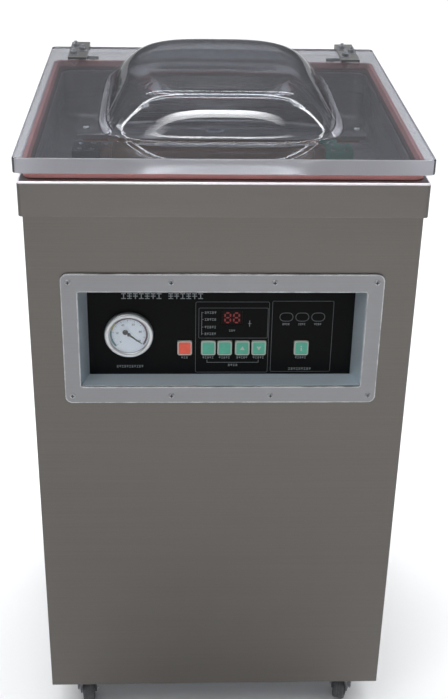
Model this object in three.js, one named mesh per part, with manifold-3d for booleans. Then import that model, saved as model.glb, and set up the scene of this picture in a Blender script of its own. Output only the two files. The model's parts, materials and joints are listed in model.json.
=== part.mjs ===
// Floor-standing single-chamber vacuum packing machine.
// Millimetres, +Z up, +X to the right, front towards -Y, origin on the floor at the middle of the box.
import * as THREE from "three";
import { mergeVertices } from "three/addons/utils/BufferGeometryUtils.js";
import Module from "manifold-3d";

const wasm = await Module();
wasm.setup();

// ---------------------------------------------------------------- driving dimensions
const gap = 0.3;                 // left between touching pieces
const sheet = 1.5;               // cabinet sheet steel
const casterHeight = 75;
const bodyWidth = 520;
const bodyDepth = 530;
const bandBottom = casterHeight + 801;
const bandHeight = 47;
const bandProud = 5;             // how far the rim band stands out from the cabinet
const rimTop = bandBottom + bandHeight;
const lidWidth = 540;
const lidDepth = 576;
const lidThickness = 20.5;
const gasketHeight = 9;
const hingeOverhang = 15;        // hinge arm behind the lid's back edge
const totalDepth = bandProud + lidDepth - 1 + hingeOverhang;
const front = -totalDepth / 2 + bandProud;      // the cabinet's front plane
const back = front + bodyDepth;
const lidFront = front - 1;
const lidBack = lidFront + lidDepth;
const lidBottom = rimTop + gasketHeight + gap;
const lidTop = lidBottom + lidThickness;

const chamberHalf = 244;         // inside of the vacuum chamber
const chamberFront = front + 24;
const chamberBack = front + 482;
const chamberDepth = 78;
const chamberFloor = rimTop - chamberDepth;

const domeHalf = 165;            // foot outline of the blown dome
const domeFront = front + 68;
const domeBack = front + 470;
const domeHeight = 55.5;
const domeWall = 61;             // horizontal run of the dome's side walls
const domeCrownThickness = 8;

const bezelWidth = 432;
const bezelLow = bandBottom - 277.5;
const bezelHigh = bandBottom - 81.5;
const bezelScrewXs = [-206, -69, 69, 206];
const bezelScrewZs = [bezelLow + 11, bezelHigh - 12];
const recessHalf = 194;
const recessLow = bandBottom - 252.5;
const recessHigh = bandBottom - 107.7;
const recessBackHalf = 184;
const recessDepth = 35;
const panelFront = front + recessDepth;
const panelThickness = 2.5;

const louvreRows = 7;
const louvreLow = 190;
const louvrePitch = 22;
const louvreWidth = 130;
const louvreDepth = 5;
const louvreXs = [-112, 112];
const glandX = 190;
const glandZ = 130;

const gaugeX = -128;
const gaugeZ = bandBottom - 189;
const gaugeRadius = 34;
const gaugeCanRadius = 30;
const needleRestAngle = -38;     // degrees from +X, in the X-Z plane

const buttonWidth = 20.6;
const buttonHeight = 22.6;
const buttonZ = bandBottom - 211;
const buttonPlaces = [
  ["stop_button", -50.5, 0xe25a46],
  ["select_button", -17.4, 0x4f9c88],
  ["enter_button", 5.5, 0x4f9c88],
  ["up_button", 30.2, 0x4f9c88],
  ["down_button", 53.4, 0x4f9c88],
  ["start_button", 113, 0x4f9c88],
];

const displayLeft = 1;
const displayWidth = 28.4;
const displayLow = bandBottom - 174.5;
const displayHeight = 20.6;

const sealCentreY = front + 128;
const sealDepth = 34;
const sealTop = rimTop - 11;     // top of the seal bar at rest
const sealTravel = 7;
const sealHeight = 24;
const sealBarLeft = -150;
const sealBarRight = 126;
const endBlockLength = 38;
const liftPlaces = [["left", -110], ["right", 90]];

const hingeX = 222;
const pivotY = front + 558;
const pivotZ = bandBottom + 29;
const lidOpening = 60;           // degrees
const leverLength = 24;          // pivot to spring post
const springOffset = 19;         // spring centre, inboard of the hinge
const springRadius = 8;
const springLength = 172;
const hingePinRadius = 5;
const hingeHoleRadius = 5.4;

const casterX = 205;
const casterInset = 32;          // swivel axis behind the cabinet's front and before its back
const wheelRadius = 25;
const wheelWidth = 19;
const trail = 20;
const casterPlaces = [
  ["front_left", -casterX, front + casterInset, 8, true],
  ["front_right", casterX, front + casterInset, -18, true],
  ["rear_left", -casterX, back - casterInset - trail, 0, false],
  ["rear_right", casterX, back - casterInset - trail, 12, false],
];

// ---------------------------------------------------------------- finishes
const finish = (color, roughness, metalness) => ({ color, roughness, metalness });
const STAINLESS = finish(0xa09d96, 0.4, 1);
const BRIGHT_STEEL = finish(0xc4c5c6, 0.25, 1);
const ZINC = finish(0x9aa0a6, 0.45, 0.9);
const BLACK_PLASTIC = finish(0x1c1e22, 0.45, 0);
const DARK_GREY = finish(0x44474a, 0.6, 0);
const SILICONE = finish(0xb45a55, 0.55, 0);
const COPPER = finish(0xb98a62, 0.35, 1);
const GREEN_LAMINATE = finish(0x2f7f63, 0.5, 0);
const ALUMINIUM = finish(0xb7babd, 0.35, 1);
const ACRYLIC = finish(0xdfe8ea, 0.05, 0);

const machine = new THREE.Group();

// ---------------------------------------------------------------- solids
function solid(geometry) {
  const bare = geometry.index ? geometry.clone() : geometry;
  bare.deleteAttribute("normal");
  bare.deleteAttribute("uv");
  const merged = mergeVertices(bare, 1e-4);
  return new wasm.Manifold(new wasm.Mesh({
    numProp: 3,
    vertProperties: new Float32Array(merged.attributes.position.array),
    triVerts: new Uint32Array(merged.index.array),
  }));
}

function surface(body) {
  const mesh = body.getMesh();
  const geometry = new THREE.BufferGeometry();
  geometry.setAttribute("position", new THREE.BufferAttribute(mesh.vertProperties, 3));
  geometry.setIndex(new THREE.BufferAttribute(mesh.triVerts, 1));
  return geometry;
}

function add(name, body, look) {
  const mesh = new THREE.Mesh(surface(body), new THREE.MeshStandardMaterial(look));
  mesh.name = name;
  machine.add(mesh);
}

// A box between two opposite corners.
function block([x0, y0, z0], [x1, y1, z1]) {
  const box = new THREE.BoxGeometry(x1 - x0, y1 - y0, z1 - z0);
  box.translate((x0 + x1) / 2, (y0 + y1) / 2, (z0 + z1) / 2);
  return solid(box);
}

// A round bar centred on a point; the axis is "x", "y" or "z".
function bar(axis, [x, y, z], radius, length, sides = 24) {
  const cylinder = new THREE.CylinderGeometry(radius, radius, length, sides);
  if (axis === "x") cylinder.rotateZ(Math.PI / 2);
  if (axis === "z") cylinder.rotateX(Math.PI / 2);
  cylinder.translate(x, y, z);
  return solid(cylinder);
}

// A turned piece: [radius, distance] pairs, turned about an axis through a point.
function turned(axis, [x, y, z], profile, sides = 28) {
  const points = profile.map(([radius, distance]) => new THREE.Vector2(radius, distance));
  const lathe = new THREE.LatheGeometry([...points, points[0]], sides);
  if (axis === "x") lathe.rotateZ(-Math.PI / 2);
  if (axis === "z") lathe.rotateX(Math.PI / 2);
  lathe.translate(x, y, z);
  return solid(lathe);
}

function roundedOutline(x0, x1, y0, y1, radius) {
  const shape = new THREE.Shape();
  shape.moveTo(x0 + radius, y0);
  shape.lineTo(x1 - radius, y0);
  shape.absarc(x1 - radius, y0 + radius, radius, -Math.PI / 2, 0, false);
  shape.absarc(x1 - radius, y1 - radius, radius, 0, Math.PI / 2, false);
  shape.absarc(x0 + radius, y1 - radius, radius, Math.PI / 2, Math.PI, false);
  shape.absarc(x0 + radius, y0 + radius, radius, Math.PI, Math.PI * 1.5, false);
  return shape;
}

// A slab with rounded corners in plan, between two heights.
function slab([x0, y0, z0], [x1, y1, z1], radius, steps = 5) {
  const outline = roundedOutline(x0, x1, y0, y1, radius);
  const extruded = new THREE.ExtrudeGeometry(outline,
    { depth: z1 - z0, bevelEnabled: false, curveSegments: steps });
  extruded.translate(0, 0, z0);
  return solid(extruded);
}

// The same, standing: rounded corners as seen from the front.
function standingSlab([x0, y0, z0], [x1, y1, z1], radius, steps = 5) {
  const outline = roundedOutline(x0, x1, z0, z1, radius);
  const extruded = new THREE.ExtrudeGeometry(outline,
    { depth: y1 - y0, bevelEnabled: false, curveSegments: steps });
  extruded.rotateX(Math.PI / 2);
  extruded.translate(0, y1, 0);
  return solid(extruded);
}

// A plate whose outline is drawn in Y and Z, with its thickness along X.
function sidePlate(outline, x0, x1) {
  const extruded = new THREE.ExtrudeGeometry(outline,
    { depth: x1 - x0, bevelEnabled: false, curveSegments: 5 });
  const turn = new THREE.Matrix4().makeBasis(
    new THREE.Vector3(0, 1, 0), new THREE.Vector3(0, 0, 1), new THREE.Vector3(1, 0, 0));
  extruded.applyMatrix4(turn);
  extruded.translate(x0, 0, 0);
  return solid(extruded);
}

// A tapered block between two upright rectangles: [halfWidth, zLow, zHigh] at two depths.
function taper([halfA, lowA, highA], yA, [halfB, lowB, highB], yB) {
  const box = new THREE.BoxGeometry(1, 1, 1);
  const places = box.attributes.position;
  for (let i = 0; i < places.count; i += 1) {
    const near = places.getY(i) < 0;
    const half = near ? halfA : halfB;
    const low = near ? lowA : lowB;
    const high = near ? highA : highB;
    places.setXYZ(i, Math.sign(places.getX(i)) * half, near ? yA : yB,
      places.getZ(i) < 0 ? low : high);
  }
  return solid(box);
}

// ---------------------------------------------------------------- cabinet
function buildBaseTray() {
  const half = bodyWidth / 2 - sheet - gap;
  const low = [-half, front + sheet + gap, casterHeight];
  const high = [half, back - sheet - gap, casterHeight + 30];
  const pan = block(low, high)
    .subtract(block([low[0] + 2, low[1] + 2, casterHeight + 2], [high[0] - 2, high[1] - 2, high[2] + 1]));
  add("base_tray", pan, ZINC);
}

function buildCabinetShell() {
  const half = bodyWidth / 2;
  const top = rimTop - 4.6;
  const flange = 12;
  let shell = block([-half, front, casterHeight], [half, back, top]);
  shell = shell.subtract(
    block([-half + sheet, front + sheet, casterHeight - 1], [half - sheet, back - sheet, top - sheet]));
  shell = shell.subtract(
    block([-half + flange, front + flange, top - 5], [half - flange, back - flange, top + 1]));
  shell = shell.subtract(
    block([-half + sheet, back - 5, casterHeight + 24], [half - sheet, back + 1, rimTop - 62]));
  shell = shell.subtract(block([-197, front - 1, recessLow - 3.5], [197, front + 5, recessHigh + 3.5]));
  add("cabinet_shell", shell, STAINLESS);
}

function buildRearPanel() {
  const half = bodyWidth / 2 - 2;
  let panel = block([-half, back + gap, casterHeight + 14], [half, back + gap + sheet, rimTop - 52]);
  const face = back + gap + sheet - 0.1;
  for (const x of louvreXs) {
    for (let row = 0; row < louvreRows; row += 1) {
      const z = louvreLow + row * louvrePitch;
      const hood = new THREE.Shape();
      hood.moveTo(face, z);
      hood.lineTo(face + louvreDepth, z + 1);
      hood.lineTo(face + louvreDepth, z + 2.5);
      hood.lineTo(face, z + 11);
      hood.closePath();
      panel = panel.add(sidePlate(hood, x - louvreWidth / 2, x + louvreWidth / 2));
    }
  }
  panel = panel.subtract(bar("y", [glandX, back, glandZ], 9.4, 12, 16));
  add("rear_panel", panel, STAINLESS);
  const gland = bar("y", [glandX, back + 6.5, glandZ], 9, 30, 16)
    .add(bar("y", [glandX, back + gap + sheet + gap + 2.5, glandZ], 14, 5, 6))
    .add(bar("y", [glandX, back - 4, glandZ], 13, 5, 6))
    .subtract(bar("y", [glandX, back, glandZ], 5, 60, 12));
  add("mains_gland", gland, BLACK_PLASTIC);
}

function buildTopRim() {
  const half = bodyWidth / 2 + bandProud;
  const wall = 2;
  let rim = slab([-half, front - bandProud, bandBottom], [half, back + bandProud, rimTop], 4, 3);
  rim = rim.subtract(slab([-half + wall, front - bandProud + wall, bandBottom - 1],
    [half - wall, back + bandProud - wall, rimTop - wall], 3, 3));
  rim = rim.subtract(slab([-chamberHalf - 2, chamberFront - 2, rimTop - 10],
    [chamberHalf + 2, chamberBack + 2, rimTop + 1], 20, 5));
  add("top_rim", rim, STAINLESS);
}

function buildChamberWell() {
  const wall = 1.6;
  const flangeTop = rimTop - 2 - gap;
  let well = slab([-chamberHalf - wall, chamberFront - wall, chamberFloor - wall],
    [chamberHalf + wall, chamberBack + wall, flangeTop], 20, 5);
  well = well.add(slab([-chamberHalf - 13, chamberFront - 13, flangeTop - wall],
    [chamberHalf + 13, chamberBack + 13, flangeTop], 24, 5));
  well = well.subtract(slab([-chamberHalf, chamberFront, chamberFloor],
    [chamberHalf, chamberBack, rimTop + 1], 18.4, 5));
  well = well.subtract(bar("z", [0, chamberBack - 60, chamberFloor], 14, 10, 20));
  add("chamber_well", well, BRIGHT_STEEL);
}

function buildGasket() {
  const z0 = rimTop + gap / 2;
  const z1 = lidBottom - gap / 2;
  const outer = slab([-258.5, front + 8, z0], [258.5, front + 505, z1], 12, 5);
  const inner = slab([-248, front + 18.5, z0 - 1], [248, front + 494.5, z1 + 1], 4, 4);
  add("gasket", outer.subtract(inner), SILICONE);
}

// ---------------------------------------------------------------- control recess
function buildControlSurround() {
  const half = bezelWidth / 2;
  let bezel = standingSlab([-half, front - 3 - gap, bezelLow], [half, front - gap, bezelHigh], 10);
  bezel = bezel.subtract(standingSlab([-recessHalf, front - 5, recessLow],
    [recessHalf, front + 5, recessHigh], 3, 3));
  for (const x of bezelScrewXs) {
    for (const z of bezelScrewZs) {
      bezel = bezel.subtract(bar("y", [x, front, z], 2.2, 12, 10));
    }
  }
  add("control_bezel", bezel, ALUMINIUM);

  const y0 = front + sheet + gap;
  const y1 = panelFront - gap;
  const wall = 1.5;
  let tray = taper([recessHalf + wall, recessLow - wall, recessHigh + wall], y0,
    [recessBackHalf + wall, recessLow - wall, recessHigh + wall], y1);
  tray = tray.add(block([-215, y0, recessLow - 14], [215, y0 + wall, recessHigh + 14]));
  tray = tray.subtract(taper([recessHalf + 0.6, recessLow, recessHigh], y0 - 2,
    [recessBackHalf - 0.6, recessLow, recessHigh], y1 + 2));
  add("control_recess", tray, STAINLESS);
}

function buildControlPanel() {
  const y1 = panelFront + panelThickness;
  let panel = block([-196, panelFront, recessLow - 9], [196, y1, recessHigh + 9]);
  panel = panel.subtract(bar("y", [gaugeX, panelFront, gaugeZ], gaugeCanRadius + 0.5, 20, 32));
  panel = panel.subtract(block([displayLeft - gap, panelFront - 1, displayLow - gap],
    [displayLeft + displayWidth + gap, y1 + 1, displayLow + displayHeight + gap]));
  for (const [, x] of buttonPlaces) {
    panel = panel.subtract(block(
      [x - buttonWidth / 2 - 0.4, panelFront - 1, buttonZ - buttonHeight / 2 - 0.5],
      [x + buttonWidth / 2 + 0.4, y1 + 1, buttonZ + buttonHeight / 2 + 0.5]));
  }
  add("control_panel", panel, BLACK_PLASTIC);
  add("display_window", block([displayLeft, panelFront + 0.4, displayLow],
    [displayLeft + displayWidth, y1 + 1, displayLow + displayHeight]), finish(0x5a0d10, 0.15, 0));
  const boardY = y1 + 12;
  let board = block([-76, boardY, recessLow + 6], [176, boardY + 1.6, recessHigh - 8]);
  board = board.add(block([-70, boardY + 1, recessLow + 90], [-10, boardY + 18, recessLow + 120]));
  board = board.add(block([60, boardY + 1, recessLow + 84], [130, boardY + 14, recessLow + 112]));
  add("control_board", board, finish(0x1f5a3a, 0.5, 0));
}

function buildButtons() {
  const halfW = buttonWidth / 2;
  const halfH = buttonHeight / 2;
  const rearFace = panelFront + panelThickness;
  for (const [name, x, color] of buttonPlaces) {
    const cap = standingSlab([x - halfW, panelFront - 2, buttonZ - halfH],
      [x + halfW, rearFace + 3, buttonZ + halfH], 2, 2);
    const collar = block([x - halfW - 0.6, rearFace + gap, buttonZ - halfH - 1.5],
      [x + halfW + 0.6, rearFace + 2, buttonZ + halfH + 1.5]);
    const stem = bar("y", [x, rearFace + 6, buttonZ], 3, 7, 8);
    add(name, cap.add(collar).add(stem), finish(color, 0.4, 0));
  }
}

function buildGauge() {
  const centre = [gaugeX, panelFront, gaugeZ];
  add("gauge_case", turned("y", centre, [
    [0, 26], [0, 24], [28, 24], [28, -6.8], [29.5, -7.8], [gaugeRadius - 1.5, -7.8],
    [gaugeRadius, -6.2], [gaugeRadius, -gap], [gaugeCanRadius, -gap], [gaugeCanRadius, 26],
  ], 28), BRIGHT_STEEL);
  const [x, y, z] = centre;
  add("gauge_dial", bar("y", [x, y - 0.5, z], 27.7, 1, 32), finish(0xe4ecf2, 0.5, 0));
  add("gauge_lens", bar("y", [x, y - 6.2, z], 27.7, 1.4, 32), ACRYLIC);
  const outline = new THREE.Shape();
  outline.moveTo(-8, -1.6);
  outline.lineTo(4, -1);
  outline.lineTo(21, -0.35);
  outline.lineTo(21, 0.35);
  outline.lineTo(4, 1);
  outline.lineTo(-8, 1.6);
  const pointer = new THREE.ExtrudeGeometry(outline, { depth: 0.6, bevelEnabled: false });
  pointer.rotateX(Math.PI / 2);
  pointer.rotateY(-needleRestAngle * Math.PI / 180);
  pointer.translate(x, y - 3, z);
  const hub = bar("y", [x, y - 3.2, z], 2.6, 1.8, 16);
  add("gauge_needle", solid(pointer).add(hub), finish(0x16181b, 0.4, 0));
}

// ---------------------------------------------------------------- vacuum system inside the cabinet
const pumpFloor = casterHeight + 2 + gap;
const motorAxisY = front + 385;
const motorAxisZ = pumpFloor + 96;
const motorLeft = -8;
const motorRadius = 74;

function buildPump() {
  let pump = slab([-205, motorAxisY - 92, pumpFloor + 12], [-12, motorAxisY + 92, pumpFloor + 178], 14, 4);
  for (const x of [-190, -46]) {
    pump = pump.add(block([x, motorAxisY - 100, pumpFloor], [x + 22, motorAxisY + 100, pumpFloor + 16]));
  }
  for (let i = 0; i < 7; i += 1) {
    const x = -186 + i * 14;
    pump = pump.add(block([x, motorAxisY - 98, pumpFloor + 60], [x + 5, motorAxisY - 80, pumpFloor + 165]));
  }
  pump = pump.add(bar("z", [-60, motorAxisY - 20, pumpFloor + 188], 19, 30, 20));
  pump = pump.add(bar("z", [-160, motorAxisY + 30, pumpFloor + 186], 24, 24, 20));
  pump = pump.subtract(bar("z", [-60, motorAxisY - 20, pumpFloor + 200], 12, 30, 20));
  add("vacuum_pump", pump, finish(0x5d7f95, 0.5, 0.1));

  const length = 196;
  const right = motorLeft + length;
  const centre = [0, motorAxisY, motorAxisZ];
  let motor = turned("x", centre, [
    [0, motorLeft], [motorRadius - 10, motorLeft], [motorRadius - 8, motorLeft + 6],
    [motorRadius - 8, right - 52], [motorRadius, right - 48], [motorRadius, right],
    [motorRadius - 3, right], [motorRadius - 3, right - 44], [0, right - 44],
  ], 24);
  for (let i = 0; i < 12; i += 1) {
    const fin = new THREE.BoxGeometry(126, 4, 10);
    fin.translate(motorLeft + 73, 0, motorRadius - 6);
    fin.rotateX(i * Math.PI / 6 + Math.PI / 12);
    fin.translate(0, motorAxisY, motorAxisZ);
    motor = motor.add(solid(fin));
  }
  for (const x of [motorLeft + 20, motorLeft + 94]) {
    motor = motor.add(block([x, motorAxisY - 60, pumpFloor], [x + 22, motorAxisY + 60, pumpFloor + 40]));
  }
  motor = motor.add(block([motorLeft + 30, motorAxisY - 38, motorAxisZ + 60],
    [motorLeft + 110, motorAxisY + 38, motorAxisZ + 98]));
  add("pump_motor", motor, finish(0x6d8ea3, 0.5, 0.1));

  let fan = bar("x", [right - 26, motorAxisY, motorAxisZ], 16, 30, 20);
  fan = fan.add(bar("x", [right - 38, motorAxisY, motorAxisZ], 40, 3, 28));
  for (let i = 0; i < 8; i += 1) {
    const blade = new THREE.BoxGeometry(24, 2.5, 48);
    blade.translate(right - 26, 0, 38);
    blade.rotateX(i * Math.PI / 4);
    blade.translate(0, motorAxisY, motorAxisZ);
    fan = fan.add(solid(blade));
  }
  add("motor_fan", fan, DARK_GREY);
}

function buildTransformer() {
  const x0 = 50;
  const y0 = front + 70;
  let core = block([x0, y0, pumpFloor], [x0 + 120, y0 + 62, pumpFloor + 100]);
  core = core.add(block([x0 + 24, y0 - 22, pumpFloor + 20], [x0 + 96, y0 + 84, pumpFloor + 80]));
  core = core.add(block([x0 - 12, y0 + 6, pumpFloor], [x0 + 132, y0 + 56, pumpFloor + 4]));
  add("transformer", core, finish(0x3b3f44, 0.5, 0.6));
}

const valveX = 0;
const valveY = chamberBack - 60;
const valveTop = chamberFloor - 1.6 - gap;

function buildValveAndHose() {
  let valve = bar("z", [valveX, valveY, valveTop - 14], 19, 28, 16);
  valve = valve.add(block([valveX - 26, valveY - 26, valveTop - 62],
    [valveX + 26, valveY + 26, valveTop - 24]));
  valve = valve.add(bar("x", [valveX + 48, valveY, valveTop - 43], 17, 58, 16));
  valve = valve.add(bar("z", [valveX, valveY, valveTop - 71], 14, 26, 16));
  add("vacuum_valve", valve, finish(0xb08d4a, 0.4, 0.8));

  const start = new THREE.Vector3(valveX, valveY, valveTop - 84 - gap);
  const end = new THREE.Vector3(-60, motorAxisY - 20, pumpFloor + 203 + gap);
  const route = new THREE.CatmullRomCurve3([
    start,
    new THREE.Vector3(valveX, valveY, start.z - 60),
    new THREE.Vector3(valveX + 20, valveY - 60, start.z - 190),
    new THREE.Vector3(-50, end.y - 30, end.z + 170),
    new THREE.Vector3(end.x, end.y, end.z + 60),
    end,
  ]);
  const section = new THREE.Shape();
  section.absarc(0, 0, 14, 0, Math.PI * 2, false);
  const hose = new THREE.ExtrudeGeometry(section,
    { extrudePath: route, steps: 20, bevelEnabled: false, curveSegments: 4 });
  add("vacuum_hose", solid(hose), DARK_GREY);
}

// ---------------------------------------------------------------- sealing bar
function buildSealBar() {
  const y0 = sealCentreY - sealDepth / 2;
  const y1 = sealCentreY + sealDepth / 2;
  const bottom = sealTop - sealHeight;
  let sealBar = block([sealBarLeft, y0, bottom], [sealBarRight, y1, sealTop]);
  sealBar = sealBar.subtract(block([sealBarLeft - 1, y0 + 6, bottom - 1],
    [sealBarRight + 1, y1 - 6, bottom + 12]));
  add("seal_bar", sealBar, ALUMINIUM);

  const stripTop = sealTop + gap + 0.5;
  let element = block([sealBarLeft - 1, sealCentreY - 3, sealTop + gap],
    [sealBarRight + 1, sealCentreY + 3, stripTop]);
  for (const [side, edge] of [[-1, sealBarLeft], [1, sealBarRight]]) {
    const inner = edge + side * gap;
    const outer = edge + side * 15;
    element = element.add(block([Math.min(inner, outer), sealCentreY - 11, sealTop - 16],
      [Math.max(inner, outer), sealCentreY + 11, stripTop]));
  }
  add("heating_element", element, COPPER);

  const cover = 0.8;
  const inside = stripTop + gap;
  const length = [sealBarLeft + 1, sealBarRight - 1];
  let wrap = block([length[0], y0 - gap - cover, sealTop - 17],
    [length[1], y1 + gap + cover, inside + cover]);
  wrap = wrap.subtract(block([length[0] - 1, y0 - gap, sealTop - 18], [length[1] + 1, y1 + gap, inside]));
  add("seal_cover", wrap, finish(0x6b5238, 0.6, 0));

  const blocks = [
    ["end_block_left", sealBarLeft - 15 - gap - endBlockLength, finish(0x3a3d40, 0.6, 0)],
    ["end_block_right", sealBarRight + 15 + gap, GREEN_LAMINATE],
  ];
  for (const [name, x0, look] of blocks) {
    add(name, block([x0, y0 - 3, bottom], [x0 + endBlockLength, y1 + 3, sealTop]), look);
  }

  for (const [side, x] of liftPlaces) {
    const top = bottom - gap;
    let cylinder = bar("z", [x, sealCentreY, (chamberFloor + top) / 2 - 2], 14,
      top - chamberFloor - 4 - gap, 16);
    cylinder = cylinder.add(block([x - 22, sealCentreY - 16, chamberFloor + gap],
      [x + 22, sealCentreY + 16, chamberFloor + 4]));
    cylinder = cylinder.add(bar("z", [x, sealCentreY, top - 5], 6, 10, 12));
    add(`lift_cylinder_${side}`, cylinder, ALUMINIUM);
  }
}

// ---------------------------------------------------------------- lid
// One ring of points round the dome; exponent Infinity gives the lid's own rectangle.
function ring(halfX, halfFront, halfBack, exponent, count) {
  const points = [];
  for (let i = 0; i < count; i += 1) {
    const angle = i / count * Math.PI * 2;
    const c = Math.cos(angle);
    const s = Math.sin(angle);
    const reach = exponent === Infinity
      ? 1 / Math.max(Math.abs(c), Math.abs(s))
      : (Math.abs(c) ** exponent + Math.abs(s) ** exponent) ** (-1 / exponent);
    points.push([halfX * reach * c, (s < 0 ? halfFront : halfBack) * reach * s]);
  }
  return points;
}

function buildLid() {
  const count = 48;
  const centreY = (domeFront + domeBack) / 2;
  const halfY = (domeBack - domeFront) / 2;
  const steps = [0, 0.1, 0.22, 0.35, 0.5, 0.65, 0.82, 1];
  const innerHeight = domeHeight + lidThickness - domeCrownThickness;
  const rings = [ring(lidWidth / 2, centreY - lidFront, lidBack - centreY, Infinity, count)];
  for (const t of steps) {
    const reachY = halfY - domeWall * t;
    rings.push(ring(domeHalf - domeWall * t, reachY, reachY, 5 - 1.8 * t, count));
  }
  const rise = [0, ...steps.map((t) => Math.sin(t * Math.PI / 2))];
  const vertices = [];
  const faces = [];
  for (const [base, height] of [[lidTop, domeHeight], [lidBottom, innerHeight]]) {
    rings.forEach((points, level) => {
      for (const [x, y] of points) {
        vertices.push(x, centreY + y, base + height * 0.97 * rise[level]);
      }
    });
    vertices.push(0, centreY, base + height);
  }
  const perSide = rings.length * count + 1;
  for (const top of [true, false]) {
    const offset = top ? 0 : perSide;
    const face = (a, b, c) => faces.push(...(top ? [a, b, c] : [a, c, b]).map((v) => v + offset));
    for (let i = 0; i < count; i += 1) {
      const next = (i + 1) % count;
      for (let level = 0; level + 1 < rings.length; level += 1) {
        const a = level * count;
        const b = a + count;
        face(a + i, a + next, b + next);
        face(a + i, b + next, b + i);
      }
      const last = (rings.length - 1) * count;
      face(last + i, last + next, perSide - 1);
    }
  }
  for (let i = 0; i < count; i += 1) {
    const next = (i + 1) % count;
    faces.push(i, perSide + i, perSide + next);
    faces.push(i, perSide + next, next);
  }
  const geometry = new THREE.BufferGeometry();
  geometry.setAttribute("position", new THREE.BufferAttribute(new Float32Array(vertices), 3));
  geometry.setIndex(faces);
  add("lid", solid(geometry), { ...ACRYLIC, transparent: true, opacity: 0.35 });
}

function buildCounterBar() {
  const half = 196;
  const padBottom = sealTop + gap + 0.5 + gap + 0.8 + sealTravel + gap;
  const barTop = lidBottom - gap;
  const padTop = padBottom + 4;
  add("counter_bar", block([-half, sealCentreY - 12, padTop + gap], [half, sealCentreY + 12, barTop]),
    ALUMINIUM);
  add("counter_pad", block([-half + 8, sealCentreY - 8, padBottom], [half - 8, sealCentreY + 8, padTop]),
    finish(0xa66a4c, 0.6, 0));
}

// ---------------------------------------------------------------- lid hinges
function buildHinge(side, name) {
  const x = side * hingeX;
  const postAngle = lidOpening / 2 * Math.PI / 180;
  const postY = pivotY + leverLength * Math.cos(postAngle);
  const postZ = pivotZ + leverLength * Math.sin(postAngle);
  const rear = lidBack + hingeOverhang;
  const strapTop = lidTop + gap + 4;

  const outline = new THREE.Shape();
  outline.absarc(pivotY, pivotZ, 9, Math.PI * 0.7, Math.PI * 1.62, false);
  outline.lineTo(postY + 4, postZ - 6.5);
  outline.lineTo(rear, postZ + 4);
  outline.lineTo(rear, strapTop);
  outline.lineTo(lidBack + gap, strapTop);
  outline.lineTo(lidBack + gap, lidBottom - 3);
  outline.lineTo(lidBack - 10, lidBottom - 8);
  outline.closePath();
  let arm = sidePlate(outline, x - 3, x + 3);
  arm = arm.add(block([x - 15, lidBack - 88, lidTop + gap], [x + 15, rear, strapTop]));
  arm = arm.add(block([x - 15, rear - 4, lidBottom - 4], [x + 15, rear, strapTop]));
  arm = arm.add(bar("x", [x - side * 14, postY, postZ], 3, 30, 14));
  arm = arm.subtract(bar("x", [x, pivotY, pivotZ], hingeHoleRadius, 20, 20));
  add(`hinge_arm_${name}`, arm, BRIGHT_STEEL);

  const plateY = back + bandProud + gap;
  const springBottom = postZ - 3 - gap - springLength;
  const lugZ = springBottom - gap - 4;
  const ear = new THREE.Shape();
  ear.moveTo(plateY, pivotZ + 10);
  ear.lineTo(plateY, pivotZ - 26);
  ear.lineTo(pivotY + 4, pivotZ - 11);
  ear.absarc(pivotY, pivotZ, 11.5, -Math.PI * 0.4, Math.PI * 0.55, false);
  ear.closePath();
  let bracket = block([x - 26, plateY, lugZ], [x + 26, plateY + 4, rimTop - 4]);
  bracket = bracket.add(sidePlate(ear, x - 8.5, x - 3.5));
  bracket = bracket.add(sidePlate(ear, x + 3.5, x + 8.5));
  const springX = x - side * springOffset;
  bracket = bracket.add(block([springX - 7, plateY + 2, lugZ], [springX + 7, postY + 8, lugZ + 4]));
  bracket = bracket.subtract(bar("x", [x, pivotY, pivotZ], hingeHoleRadius, 40, 20));
  add(`hinge_bracket_${name}`, bracket, BRIGHT_STEEL);

  const pin = bar("x", [x, pivotY, pivotZ], hingePinRadius, 22, 20)
    .add(bar("x", [x + side * 11, pivotY, pivotZ], 8, 4, 20))
    .add(bar("x", [x - side * 10.5, pivotY, pivotZ], 7, 3, 6));
  add(`hinge_pin_${name}`, pin, ZINC);

  const springMiddle = [springX, postY, springBottom + springLength / 2];
  const spring = bar("z", springMiddle, springRadius, springLength, 16)
    .subtract(bar("z", springMiddle, springRadius - 2, springLength + 2, 16));
  add(`lid_spring_${name}`, spring, ZINC);
}

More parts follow.
